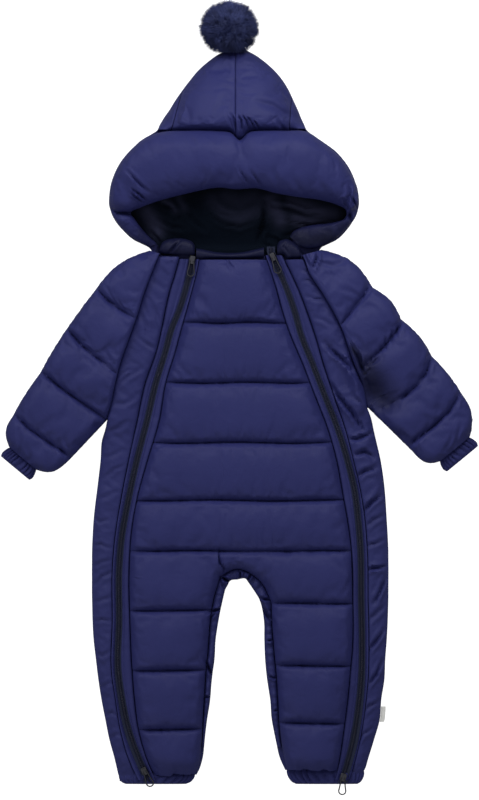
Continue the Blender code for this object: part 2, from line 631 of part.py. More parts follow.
def sleeve(name, finish, table, side):
    """Raglan sleeve: a folded padded tube, open along the raglan seam and at the cuff."""
    sign = -1 if side == "left" else 1
    slit = 0.6                 # half the height of the flat hollow
    fold_wall = 9.0            # padding outside the hollow, at the fold
    raglan = smooth_curve(RAGLAN, 1 if side == "left" else 2)
    bow = LEFT_BOW if side == "left" else RIGHT_BOW
    solid = Solid(name, finish)
    stations = []
    for row in range(len(table) - 1):
        one, two = np.array(table[row], float), np.array(table[row + 1], float)
        run = two[:2] - one[:2]
        normal = np.array([run[1], -run[0]]) / np.linalg.norm(run)
        if normal[0] * sign < 0:
            normal = -normal
        for u in PUFF_STEPS:
            mixed = one + (two - one) * u
            mixed[:2] += normal * bow[row] * math.sin(math.pi * u)
            if row == SLEEVE_OPEN_ROWS + 1:
                mixed[3] -= UNDER_ARM_BOW * math.sin(math.pi * u)
            if row + u <= SLEEVE_OPEN_ROWS:
                mixed[2] = raglan(mixed[3])
            stations.append((row + u, mixed, one[5]))
    stations.append((len(table) - 1.0, np.array(table[-1], float), 8.0))

    sheets = []
    for place, values, lift in stations:
        outer, inner = values[:2], values[2:4]
        mid = values[4]
        across = inner - outer
        width = np.linalg.norm(across)
        across = across / width
        open_here = place <= SLEEVE_OPEN_ROWS
        inner = inner - across * SEAM_GAP if open_here else inner
        width = np.linalg.norm(inner - outer)
        rise = VALLEY_LIFT + lift * 0.72 * puff(place)
        end_thin = 0.75 if place > len(table) - 1.4 else 1.0
        top, low = [], []
        for t in SLEEVE_COLUMNS:
            x, y = outer + across * width * t
            if open_here:
                edge = 3.0 + 8.0 * t
                over = (1.0 - abs(2.0 * t - 1.0) ** 3.5) ** 0.6
            else:
                edge = 3.0
                over = (1.0 - abs(2.0 * t - 1.0) ** 3.5) ** 0.55
            thick = EDGE_LIFT - 3.0
            top.append((x, y, mid + slit + (edge + (rise + thick) * over) * end_thin))
        ends = ((0.0, mid - 5.0), (0.05, 3.2), (0.14, 0.0), (0.86, 0.0),
                (0.95, 0.0 if open_here else 3.2), (1.0, 0.0 if open_here else mid - 5.0))
        for t, z in ends:
            x, y = outer + across * width * t
            low.append((x, y, z))
        start = outer + across * min(fold_wall, width * 0.3)
        finish_at = inner if open_here else inner - across * min(fold_wall, width * 0.3)
        hollow_top = [(*start, mid + slit), (*finish_at, mid + slit)]
        hollow_low = [(*start, mid - slit), (*finish_at, mid - slit)]
        if abs(place - SLEEVE_OPEN_ROWS) < 1e-6:
            closed_end = inner - across * min(fold_wall, width * 0.3)
            hollow_top[1] = (*closed_end, mid + slit)
            hollow_low[1] = (*closed_end, mid - slit)
        sheets.append((place, solid.ring(top), solid.ring(hollow_top), solid.ring(hollow_low),
                       solid.ring(low)))

    for (place, top_a, in_a, lo_a, low_a), (_, top_b, in_b, lo_b, low_b) in zip(sheets, sheets[1:]):
        if place < SLEEVE_OPEN_ROWS - 1e-6:
            one = top_a + in_a[::-1] + lo_a + low_a[::-1]
            two = top_b + in_b[::-1] + lo_b + low_b[::-1]
            solid.bridge(one, two)
        else:
            solid.bridge(top_a + low_a[::-1], top_b + low_b[::-1])
            solid.bridge(in_a + lo_a[::-1], in_b + lo_b[::-1])
    _, top, hollow_top, hollow_low, low = sheets[0]
    solid.face(top + hollow_top[::-1] + hollow_low + low[::-1])
    for place, top, hollow_top, hollow_low, low in sheets:
        if abs(place - SLEEVE_OPEN_ROWS) < 1e-6:
            solid.face((top[-1], hollow_top[-1], hollow_low[-1], low[-1]))
    _, top, hollow_top, hollow_low, low = sheets[-1]
    solid.face(top + hollow_top[::-1])
    solid.face(low + hollow_low[::-1])
    solid.face((top[0], hollow_top[0], hollow_low[0], low[0]))
    solid.face((top[-1], hollow_top[-1], hollow_low[-1], low[-1]))
    return solid.build()


def gathered_tube(name, finish, stations, waves, wave_depth, wall):
    """Short flattened tube with gathers, open at both ends.

    stations: centre x, centre y, middle height, half width vector x, y, half height.
    """
    solid = Solid(name, finish)
    count = waves * 3
    outer, inner = [], []
    for number, (cx, cy, cz, wx, wy, high) in enumerate(stations):
        half = np.array([wx, wy], float)
        width = np.linalg.norm(half)
        at_end = number in (0, len(stations) - 1)
        depth = wave_depth * (0.6 if at_end else 1.0)
        ring, hole = [], []
        for k in range(count):
            angle = 2 * math.pi * k / count
            c, s = math.cos(angle), math.sin(angle)
            along = math.copysign(abs(c) ** 0.8, c)
            up = math.copysign(abs(s) ** 0.7, s)
            gather = depth if k % 3 == 1 else 0.0
            x, y = np.array([cx, cy]) + half * along * (1 + gather / width)
            z = max(cz + up * (high + gather * 0.8), 0.0)
            ring.append((x, y, z))
            shrink = (width - wall * 2.2) / width
            x, y = np.array([cx, cy]) + half * along * shrink
            hole.append((x, y, cz + up * 1.5))
        outer.append(solid.ring(ring))
        if at_end:
            inner.append(solid.ring(hole[::3]))
    for one, two in zip(outer, outer[1:]):
        solid.bridge(one, two)
    solid.bridge(inner[0], inner[1])
    for ring, hole in ((outer[0], inner[0]), (outer[-1], inner[1])):
        for k in range(waves):
            n = (k + 1) % waves
            a, b, c, d = (ring[(3 * k + i) % count] for i in range(4))
            solid.face((a, b, hole[k]))
            solid.face((b, c, hole[n], hole[k]))
            solid.face((c, d, hole[n]))
    return solid.build()


def cuff(name, finish, side):
    """Gathered elastic cuff at the end of a sleeve."""
    table = LEFT_SLEEVE if side == "left" else RIGHT_SLEEVE
    outer, inner = np.array(table[-1][:2], float), np.array(table[-1][2:4], float)
    centre = (outer + inner) / 2
    half = (inner - outer) / 2
    along = np.array([half[1], -half[0]]) / np.linalg.norm(half)
    if along[1] > 0:
        along = -along
    stations = []
    for distance, share, high in ((0.4, 0.96, 9.5), (8.0, 1.0, 10.5), (16.0, 0.95, 8.5)):
        cx, cy = centre + along * distance
        wx, wy = half * share
        stations.append((cx, cy, CUFF_PARTING - 1.5, wx, wy, high))
    return gathered_tube(name, finish, stations, 18, 1.2, 3.0)


def hem(name, finish, side):
    """Gathered elastic hem of a leg."""
    which = 1 if side == "left" else 2
    seam = smooth_curve(SIDE_SEAM, which)
    inside = smooth_curve(INSIDE_LEG, which)
    top = HEM_Y_LEFT if side == "left" else HEM_Y_RIGHT
    sign = -1 if side == "left" else 1
    stations = []
    for share, draw_in, high in ((0.0, 2.0, 5.2), (0.5, 3.5, 5.6), (1.0, 9.0, 4.6)):
        y = top - 0.4 + (HEM_END - top + 0.4) * share
        x0 = seam(top) - sign * draw_in
        x1 = inside(top) + sign * draw_in
        stations.append(((x0 + x1) / 2, y, 6.8, (x1 - x0) / 2, 0.0, high))
    return gathered_tube(name, finish, stations, 20, 1.0, 3.0)


def hood_brim(finish):
    """Padded roll round the face opening."""
    rings = []
    for ox, oy, ix, iy, mid, above, below in smooth_rows(BRIM, 2):
        centre = np.array([(ox + ix) / 2, (oy + iy) / 2])
        half = np.array([ix - ox, iy - oy]) / 2
        ring = []
        for k in range(BRIM_RING):
            angle = 2 * math.pi * k / BRIM_RING
            c, s = math.cos(angle), math.sin(angle)
            x, y = centre - half * math.copysign(abs(c) ** 0.9, c)
            lift = above if s > 0 else below
            ring.append((x, y, mid + lift * math.copysign(abs(s) ** 0.85, s)))
        rings.append(ring)
    solid = Solid("hood_brim", finish)
    solid.loft(rings)
    return solid.build()


def crown_height(x, y):
    """Height of the crown's outer face over the floor."""
    left, right, ridge = (smooth_curve(CROWN, k)(y) for k in (1, 2, 3))
    edge = left if x < CENTRE_SEAM_X else right
    share = np.clip(abs(x - CENTRE_SEAM_X) / abs(edge - CENTRE_SEAM_X), 0.0, 1.0)
    dome = (1.0 - share ** 2.2) ** 0.62
    return CROWN_EDGE + (ridge - CROWN_EDGE) * dome


def crown_piece(name, finish, ys, outer_x, inner_x, seams):
    """Padded wall of the crown between two edges, its seams drawn down a little."""
    steps = (0.0, 0.08, 0.3, 0.6, 0.88, 1.0)
    rings = []
    for y in ys:
        x0, x1 = outer_x(y), inner_x(y)
        top, low = [], []
        for t in steps:
            x = x0 + (x1 - x0) * t
            dip = 3.0 * (max(0.0, 1 - t / 0.25) * seams[0] + max(0.0, 1 - (1 - t) / 0.25) * seams[1])
            z = crown_height(x, y) - dip
            top.append((x, y, z))
            if t in (0.0, 0.3, 0.6, 1.0):
                floor = HOOD_BACK_THICK + SEAM_GAP
                low.append((x, y, max(z - CROWN_WALL, floor)))
        rings.append(top + low[::-1])
    solid = Solid(name, finish)
    solid.loft(rings)
    return solid.build()


def hood_crown(finish):
    left, right = smooth_curve(CROWN, 1), smooth_curve(CROWN, 2)

    def gusset_edge(side, y):
        point_y, point_x, foot_x = GUSSET_LEFT if side == "left" else GUSSET_RIGHT
        return point_x + (foot_x - point_x) * (point_y - y) / (point_y - CROWN[-1][0])

    ys = [row[0] for row in CROWN]
    extra = {"left": GUSSET_LEFT[0], "right": GUSSET_RIGHT[0]}
    made = []
    for side, outline in (("left", left), ("right", right)):
        sign = -1 if side == "left" else 1
        point = extra[side]

        def outer_x(y, side=side, outline=outline, sign=sign, point=point):
            if y >= point:
                return outline(y)
            return gusset_edge(side, y) - sign * SEAM_GAP

        def centre_x(y, sign=sign):
            return CENTRE_SEAM_X + sign * SEAM_GAP / 2

        rows = sorted(set(ys) | {point + 0.1, point - 0.1}, reverse=True)
        rows = [y for y in rows if abs(y - point) > 2 or y in (point + 0.1,)]
        made.append(crown_piece("hood_crown_" + side, finish, rows, outer_x, centre_x, (0, 1)))
        gusset_rows = [point - 4] + [y for y in ys if y < point - 6]

        def gusset_outer(y, outline=outline):
            return outline(y)

        def gusset_inner(y, side=side, sign=sign):
            return gusset_edge(side, y) + sign * SEAM_GAP * 1.5

        made.append(crown_piece("hood_side_" + side, finish, gusset_rows, gusset_outer,
                                gusset_inner, (0, 1)))
    return made


def hood_back(finish):
    """Back of the hood, flat on the floor, its outline rolled up."""
    rings = []
    for y, left, right in HOOD_BACK:
        top = HOOD_BACK_THICK
        rings.append([
            (left, y, top), (right, y, top), (right, y, 7.0), (right - 5, y, 2.4),
            (right - 13, y, 0.0), (left + 13, y, 0.0), (left + 5, y, 2.4), (left, y, 7.0),
        ])
    solid = Solid("hood_back", finish)
    solid.loft(rings)
    return solid.build()


def hood_lining(finish):
    """Lining of the hood, lying on the hood's back, domed in the middle."""
    base = HOOD_BACK_THICK + SEAM_GAP
    rings = []
    for y, left, right, lift in LINING:
        top = []
        for t in (0.0, 0.12, 0.3, 0.5, 0.7, 0.88, 1.0):
            x = left + (right - left) * t
            top.append((x, y, base + 1.5 + lift * math.sin(math.pi * t) ** 0.8))
        rings.append(top + [(right, y, base), (left, y, base)])
    solid = Solid("hood_lining", finish)
    solid.loft(rings)
    return solid.build()


def collar(name, finish, table):
    """Padded neck band, standing on the parting of the body."""
    base = BACK_THICK + SEAM_GAP
    rings = []
    for x, low, high, top in table:
        width = high - low
        rise = top - base
        rings.append([
            (x, low, base), (x, low, base + rise * 0.62), (x, low + width * 0.25, top),
            (x, low + width * 0.7, top), (x, high, base + rise * 0.6), (x, high, base),
        ])
    solid = Solid(name, finish)
    solid.loft(rings)
    return solid.build()


def pompom(finish):
    """Ball of pointed locks fused at their roots, on a short stitched neck."""
    cx, cy, cz = POMPOM_AT
    solid = Solid("pompom", finish)
    grid = POMPOM_GRID
    known = {}

    def root(direction):
        key = tuple(round(v, 5) for v in direction)
        if key not in known:
            unit = np.array(direction) / np.linalg.norm(direction)
            known[key] = solid.ring([tuple(np.array(POMPOM_AT) + unit * POMPOM_CORE)])[0]
        return known[key]

    count = 0
    for axis in range(3):
        for sign in (-1, 1):
            for i in range(grid):
                for j in range(grid):
                    corners = []
                    middle = np.zeros(3)
                    for di, dj in ((0, 0), (1, 0), (1, 1), (0, 1)):
                        a = math.tan((2 * (i + di) / grid - 1) * math.pi / 4)
                        b = math.tan((2 * (j + dj) / grid - 1) * math.pi / 4)
                        point = [0.0, 0.0, 0.0]
                        point[axis] = float(sign)
                        point[(axis + 1) % 3] = a
                        point[(axis + 2) % 3] = b
                        corners.append(root(point))
                        middle += np.array(point) / np.linalg.norm(point)
                    unit = middle / np.linalg.norm(middle)
                    count += 1
                    sway = np.array([math.sin(count * 2.4), math.cos(count * 1.7),
                                     math.sin(count * 3.1)]) * 0.12
                    reach = POMPOM_REACH * (0.96 + 0.04 * math.sin(count * 4.3))
                    tip = (unit + sway) / np.linalg.norm(unit + sway)
                    if cz + tip[2] * reach < POMPOM_OVER_FLOOR:
                        reach = (POMPOM_OVER_FLOOR - cz) / tip[2]
                    to_crown = -tip[1]
                    if to_crown > 0.55:
                        reach = min(reach, (cy - CROWN[0][0] - SEAM_GAP) / to_crown)
                    apex = solid.ring([tuple(np.array(POMPOM_AT) + tip * reach)])[0]
                    for k in range(4):
                        solid.face((corners[k], corners[(k + 1) % 4], apex))
    return solid.build()


def zip_geometry(side):
    """Smooth x of outer edge, coil and inner edge over y, the zip's ends and its sections."""
    table = LEFT_ZIP if side == "left" else RIGHT_ZIP
    edges = [smooth_curve(table, k) for k in (1, 2, 3)]
    ends = (-492.0, 184.0 if side == "left" else 189.0)
    rows = set(np.linspace(ends[1] - ZIP_END_SHOWN, ends[0] + ZIP_END_SHOWN, ZIP_SECTIONS))
    rows = sorted(rows | {HEM_Y_LEFT, HEM_TAPER_TOP}, reverse=True)
    return edges, ends, rows


def tape_floor(y):
    """Height of the underside of the zip tape."""
    return parting(y) + 6.2


def zip_tape(name, finish, side):
    """Tape with the closed coil standing on it."""
    (_, coil, _), (low, high), rows = zip_geometry(side)
    rings = []
    for y in [high, *rows, low]:
        x = coil(y)
        base = tape_floor(y)
        top = base + TAPE_THICK
        wide, narrow = TAPE_HALF, COIL_WIDTH / 2
        rings.append([
            (x - wide, y, base), (x - wide, y, top), (x - narrow, y, top),
            (x - narrow * 0.6, y, top + COIL_HEIGHT), (x + narrow * 0.6, y, top + COIL_HEIGHT),
            (x + narrow, y, top), (x + wide, y, top), (x + wide, y, base),
        ])
    solid = Solid(name, finish)
    solid.loft(rings)
    return solid.build()


def placket(name, finish, side, place):
    """Narrow padded edge beside the tape, lying on the parting."""
    (outer, coil, inner), _, rows = zip_geometry(side)
    edge = outer if place == "outer" else inner
    away = -1 if (side == "left") == (place == "outer") else 1
    rings = []
    over_hem = tape_floor(HEM_Y_LEFT) - 0.4
    for y in rows:
        near = coil(y) + away * (TAPE_HALF + SEAM_GAP)
        far = edge(y) - away * SEAM_GAP
        climb = np.clip((HEM_Y_RIGHT + 34.0 - y) / 24.0, 0.0, 1.0)
        base = parting(y) + SEAM_GAP
        base += (over_hem - base) * climb
        top = tape_floor(y) + 2.4
        rings.append([
            (near, y, base), (near, y, top - 1.5), (near + (far - near) * 0.3, y, top),
            (near + (far - near) * 0.75, y, top - 0.4), (far, y, top - 2.6), (far, y, base),
        ])
    solid = Solid(name, finish)
    solid.loft(rings)
    return solid.build()


def slider_frame(key):
    """Place and direction of one slider: centre of its top plate's underside, unit along, unit across."""
    side, y, length, swing = SLIDERS[key]
    (_, coil, _), _, _ = zip_geometry(side)
    x = coil(y)
    run = np.array([coil(y - 4) - coil(y + 4), -8.0])
    along = run / np.linalg.norm(run)
    across = np.array([-along[1], along[0]])
    height = tape_floor(y) + TAPE_THICK + COIL_HEIGHT + SEAM_GAP
    return np.array([x, y]), along, across, height, length, swing


def slider(key, finish):
    """Slider: plate over the coil with down-turned sides, and an arch for the pull."""
    centre, along, across, height, _, _ = slider_frame(key)
    half_width = SLIDER_WIDTH / 2
    inside = COIL_WIDTH / 2 + 0.4
    flange = 1.3
    section = [
        (-half_width, -flange), (-half_width, SLIDER_PLATE * 0.6), (-half_width + 1.0, SLIDER_PLATE),
        (-ARCH_WIDTH / 2, SLIDER_PLATE), (ARCH_WIDTH / 2, SLIDER_PLATE),
        (half_width - 1.0, SLIDER_PLATE), (half_width, SLIDER_PLATE * 0.6), (half_width, -flange),
        (inside, -flange), (inside, 0.0), (-inside, 0.0), (-inside, -flange),
    ]
    solid = Solid("slider_" + key, finish)

    def place(u, v, w):
        x, y = centre + along * u + across * v
        slope = tape_floor(centre[1] + along[1] * u) - tape_floor(centre[1])
        return (x, y, height + slope + w)

    arch = ARCH_LENGTH / 2
    post = 1.3
    stops = (-SLIDER_LENGTH / 2, -arch, -arch + post, arch - post, arch, SLIDER_LENGTH / 2)
    narrow = (0.82, 1.0, 1.0, 1.0, 1.0, 0.9)
    loops = []
    for stop, share in zip(stops, narrow):
        loops.append(solid.ring([place(stop, v * (share if abs(v) > inside else 1.0), w)
                                 for v, w in section]))
    for number, (one, two) in enumerate(zip(loops, loops[1:])):
        count = len(section)
        for k in range(count):
            if number in (1, 3) and k == 3:
                continue
            n = (k + 1) % count
            solid.face((one[k], one[n], two[n], two[k]))
    solid.face(loops[0])
    solid.face(loops[-1])
    top_low = SLIDER_PLATE + ARCH_HOLE
    top_high = top_low + ARCH_BAR
    half = ARCH_WIDTH / 2
    levels = {}
    for stop in (1, 2, 3, 4):
        levels[stop] = [solid.ring([place(stops[stop], v, w) for v in (-half, half)])
                        for w in (top_low, top_high)]
    for first, second in ((1, 2), (3, 4)):
        base = [loops[first][3], loops[first][4], loops[second][4], loops[second][3]]
        hole = [*levels[first][0], *levels[second][0][::-1]]
        solid.bridge(base, hole)
    for k in range(2):
        solid.face((levels[1][0][k], levels[1][1][k], levels[2][1][k], levels[2][0][k]))
        solid.face((levels[2][0][k], levels[2][1][k], levels[3][1][k], levels[3][0][k]))
        solid.face((levels[3][0][k], levels[3][1][k], levels[4][1][k], levels[4][0][k]))
    for first, second in ((1, 2), (2, 3), (3, 4)):
        solid.face((*levels[first][1], *levels[second][1][::-1]))
    solid.face((*levels[2][0], *levels[3][0][::-1]))
    solid.face((*levels[1][0], *levels[1][1][::-1]))
    solid.face((*levels[4][0], *levels[4][1][::-1]))
    return solid.build(30.0)


def pull_axis(key):
    """Hinge of a pull: middle of its cross wire, and the wire's direction."""
    centre, along, across, height, length, swing = slider_frame(key)
    turn = math.radians(swing)
    wire = PULL_WIRE / 2
    inside = ARCH_LENGTH / 2 - 1.3
    at = centre + along * (inside - wire - 0.45)
    direction = along * math.cos(turn) + across * math.sin(turn)
    side = across * math.cos(turn) - along * math.sin(turn)
    z = height + SLIDER_PLATE + 0.55 + wire
    return np.array([at[0], at[1], z]), direction, side, length


def pull(key, finish):
    """Teardrop wire loop that hangs in the slider's arch."""
    hinge, direction, side, length = pull_axis(key)
    narrow, wide = 2.2, 4.6                      # half widths of the loop's centre line
    centre_line = [(0.0, -narrow), (0.0, 0.0), (0.0, narrow), (length * 0.45, narrow + 1.2)]
    end = length - PULL_WIRE
    for k in range(7):
        angle = math.pi * k / 6
        centre_line.append((end - wide + wide * math.sin(angle), wide * math.cos(angle)))
    centre_line.append((length * 0.45, -narrow - 1.2))
    solid = Solid("pull_" + key, finish)
    count = len(centre_line)
    loops = []
    for k, (u, v) in enumerate(centre_line):
        before, after = centre_line[k - 1], centre_line[(k + 1) % count]
        tangent = np.array([after[0] - before[0], after[1] - before[1]])
        tangent /= np.linalg.norm(tangent)
        outward = np.array([tangent[1], -tangent[0]])
        ring = []
        for i in range(6):
            angle = 2 * math.pi * i / 6
            flat = np.array([u, v]) + outward * math.cos(angle) * PULL_WIRE / 2
            xy = hinge[:2] + direction * flat[0] + side * flat[1]
            ring.append((xy[0], xy[1], hinge[2] + math.sin(angle) * PULL_WIRE / 2))
        loops.append(solid.ring(ring))
    for k in range(count):
        solid.bridge(loops[k], loops[(k + 1) % count])
    return solid.build(60.0)


def side_label(finish):
    """Small blank label that stands out of the right side seam."""
    seam = smooth_curve(SIDE_SEAM, 2)
    rings = []
    for y in LABEL_ROWS:
        x = seam(y) + SEAM_GAP
        mid = parting(y) + 0.2
        rings.append([(x, y, mid - 0.6), (x + 5.5, y, mid - 1.6), (x + 5.5, y, mid - 0.4),
                      (x, y, mid + 0.6)])
    solid = Solid("side_label", finish)
    solid.loft(rings)
    return solid.build(30.0)


def main():
    clear_scene()
    nylon = material("navy_nylon", NAVY, 0.55)
    lining = material("dark_lining", NAVY_DARK, 0.7)
    tape = material("zip_tape", TAPE, 0.7)
    fur = material("faux_fur", FUR, 0.9)
    metal = material("dark_metal", METAL, 0.3, 1.0)
    ribbon = material("white_ribbon", WHITE, 0.6)
    front_panel(nylon)
    back_panel(nylon)
    crotch_strip(nylon)
    for side, table in (("left", LEFT_SLEEVE), ("right", RIGHT_SLEEVE)):
        side_front("side_front_" + side, nylon, side)
        sleeve("sleeve_" + side, nylon, table, side)
        cuff("cuff_" + side, nylon, side)
        hem("hem_" + side, nylon, side)
        zip_tape("zip_tape_" + side, tape, side)
        for place in ("inner", "outer"):
            placket("placket_" + side + "_" + place, nylon, side, place)
    hood_back(nylon)
    hood_crown(nylon)
    hood_brim(nylon)
    hood_lining(lining)
    collar("collar_front", nylon, COLLAR_FRONT)
    collar("collar_left", nylon, COLLAR_LEFT)
    collar("collar_right", nylon, COLLAR_RIGHT)
    pompom(fur)
    for key in SLIDERS:
        slider(key, metal)
        pull(key, metal)
    side_label(ribbon)


main()
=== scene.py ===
"""Looks of the padded baby snowsuit: cloth, quilting, zips, fur and stitches around its solids."""
import math

import bmesh
import bpy
import numpy as np
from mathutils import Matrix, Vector
from mathutils.bvhtree import BVHTree


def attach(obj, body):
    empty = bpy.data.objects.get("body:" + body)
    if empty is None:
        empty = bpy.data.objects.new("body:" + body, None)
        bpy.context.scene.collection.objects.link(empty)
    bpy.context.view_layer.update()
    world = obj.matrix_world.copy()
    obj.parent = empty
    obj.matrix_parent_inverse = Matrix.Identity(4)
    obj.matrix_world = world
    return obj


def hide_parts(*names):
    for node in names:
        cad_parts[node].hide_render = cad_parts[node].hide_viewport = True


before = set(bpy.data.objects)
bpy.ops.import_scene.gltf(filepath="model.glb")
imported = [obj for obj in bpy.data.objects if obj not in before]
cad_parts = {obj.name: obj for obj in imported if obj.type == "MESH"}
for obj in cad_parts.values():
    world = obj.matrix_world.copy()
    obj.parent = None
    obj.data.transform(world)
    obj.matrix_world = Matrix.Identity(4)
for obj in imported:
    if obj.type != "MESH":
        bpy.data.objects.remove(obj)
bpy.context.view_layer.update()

MM = 0.001
GAP = 0.3                 # parting between two sewn pieces, mm
GARMENT = "garment"
SIDES = ("left", "right")
PLACES = ("inner", "outer")             # of the padded edges of a zip

# ---- heights and ends of the solids, mm ------------------------------------------------------
BACK_THICK = 18.0
HEM_PARTING = 8.0
CUFF_PARTING = 12.0
HEM_TAPER_TOP = -330.0
HEM_Y = {"left": -482.0, "right": -476.0}
HEM_END = -494.0
SIDE_FRONT_ENDS = {"left": (184.0, -490.5), "right": (180.0, -489.5)}
ARMPIT = {"left": -24.0, "right": -7.0}
SIGN = {"left": -1, "right": 1}
COLUMN = {"left": 1, "right": 2}        # of the tables of outlines

# ---- outline of body and legs: y, left x, right x ------------------------------------------
SIDE_SEAM = [
    (-8, -164, 164), (-24, -169, 170), (-38, -172, 173), (-51, -176, 176), (-77, -178, 182),
    (-103, -181, 186), (-154, -187, 190), (-192, -189, 192), (-257, -189, 192), (-308, -187, 190),
    (-334, -184, 188), (-359, -181, 187), (-385, -177, 183), (-411, -172, 181), (-436, -167, 174),
    (-462, -160, 166), (-475, -157, 162), (-488, -154, 153),
]
INSIDE_LEG = [
    (-257, -21.3, 27.3), (-282, -26, 32), (-308, -30, 32.5), (-334, -31.5, 33.5), (-359, -35, 36),
    (-385, -37, 40), (-411, -41, 42), (-436, -44, 47), (-462, -47, 53), (-475, -51, 59),
    (-488, -58, 65),
]
INSEAM = [
    (-227, -24, 34), (-257, -33, 41), (-282, -37, 42), (-321, -40, 45), (-353, -43, 48),
    (-385, -45, 50), (-421, -47, 52), (-445, -48.5, 55), (-475, -53, 62), (-488, -60, 67),
]
RAGLAN = [
    (196, -99, 77), (177, -107, 86), (167, -111, 89), (135, -123, 109), (109, -131, 124),
    (95, -136, 131), (64, -147, 142), (50, -152, 147), (19, -160, 159), (-7, -165, 164),
    (-24, -169, 168),
]
# zips: y, then x of outer placket edge, coil and inner placket edge
ZIP = {
    "left": [
        (186, -76, -59, -50), (160, -83, -64, -55), (141, -89, -69, -60), (115, -95, -77, -67),
        (90, -100, -87, -74), (64, -106, -94, -81), (21, -121, -107, -94),
        (-26, -131, -118, -102), (-77, -142, -131, -117), (-128, -152, -142, -131),
        (-180, -160, -151, -139), (-218, -163, -154, -141), (-282, -163, -154, -140),
        (-349, -164, -155, -137), (-385, -159, -150, -134), (-423, -153, -142, -129),
        (-462, -142, -128, -118), (-491, -129, -115, -106),
    ],
    "right": [
        (190, 54, 41, 32), (167, 65, 51, 40), (141, 77, 62, 48), (115, 87, 71, 55),
        (83, 98, 80, 66), (45, 109, 95, 82), (6, 122, 110, 97), (-38, 137, 127, 114),
        (-77, 147, 139, 125), (-115, 156, 148, 132), (-154, 162, 153, 139), (-192, 165, 156, 144),
        (-257, 166, 157, 146), (-308, 167, 158, 146), (-359, 166, 157, 142), (-398, 162, 153, 138),
        (-436, 156, 147, 133), (-468, 148, 139, 128), (-491, 141, 132, 123),
    ],
}
FRONT_QUILTS = [
    (180, 180), (99, 99), (22, 22), (-55, -55), (-129, -129), (-194, -194),
    (-270, -261), (-347, -341), (-423, -415), (HEM_Y["left"], HEM_Y["right"]),
]
TORSO_ROWS = 5
CROTCH_ARC = [(-24, -227), (-5, -217), (12, -221), (30, -236), (41, -258)]
CROTCH_UNDER = [(-17.5, -243.3), (-14.4, -237.7), (-11.2, -232), (-1.8, -230.4), (7.7, -228.8),
                (11.9, -234.1), (19.6, -245.4)]
CROTCH_BACK = [(-19, -246), (-11.6, -232.6), (-2, -230.8), (7.4, -229.4), (12.4, -235), (24, -252)]
BACK_QUILTS = [182, 104, 28, -50, -122, -186, -282, -350, -420]
BACK_NECK_Y = 194.6

# sleeves: outer fold x, y, raglan or under-arm x, y, parting height, lift of the puff below
SLEEVE = {
    "left": [
        (-115, 192, -102, 188, 18, 10), (-185, 141, -131, 109, 18, 17),
        (-223, 89, -154, 44, 17, 19), (-256, 34, -169, -25, 16, 19),
        (-291, -21, -218, -77, 14, 17), (-296, -60, -260, -90, 12, 8),
    ],
    "right": [
        (106, 193, 82, 186, 18, 10), (172, 144, 131, 94, 18, 17), (208, 104, 158, 22, 17, 19),
        (248, 56, 166, -10, 16, 19), (287, 7, 222, -65, 14, 17), (297, -47, 258, -79, 12, 8),
    ],
}
# seams across the sleeves, x and y of their points on the plan in turn
SLEEVE_SEAMS = {
    "left": [
        [98, 290, 107, 300, 118, 308, 134, 319], [69, 331, 82, 346, 98, 359, 116, 373],
        [41, 371, 58, 386, 80, 402, 108, 421], [15, 415, 30, 430, 49, 443, 71, 457],
    ],
    "right": [
        [369, 286, 363, 297, 355, 307, 341, 325], [403, 320, 396, 332, 385, 346, 362, 368],
        [432, 355, 426, 374, 411, 392, 394, 403, 380, 409],
        [460, 394, 449, 412, 433, 427, 410, 444],
    ],
}
SLEEVE_BOW = {"left": (9.0, 0.5, 1.0, 1.5, 6.0), "right": (11.0, 6.0, 4.0, 2.0, 7.0)}
UNDER_ARM_BOW = 8.0
SLEEVE_OPEN_ROWS = 3
ARMPIT_HOLLOW = (174.0, 5.0)

# gathered ends, from row to row: of a cuff the way past the sleeve's end, the share of its width
# and half the height; of a hem the share of its length, the way in from both edges and half the
# height
CUFF_ROWS = [(-4.0, 0.8, 5.5), (0.0, 0.87, 7.5), (4.0, 0.93, 9.0), (8.0, 0.97, 9.4),
             (12.0, 1.0, 9.6), (16.0, 0.96, 7.6)]
HEM_ROWS = [(0.0, 4.0, 4.5, 3.6), (0.2, 3.4, 4.2, 5.2), (0.4, 3.6, 5.2, 6.4),
            (0.65, 5.0, 7.6, 6.2), (0.87, 7.5, 11.0, 5.8), (1.0, 11.0, 15.5, 4.6)]
HEM_OVERLAP = 3.0         # of a hem over the end of its leg
HEM_MID = 6.9             # height of its middle

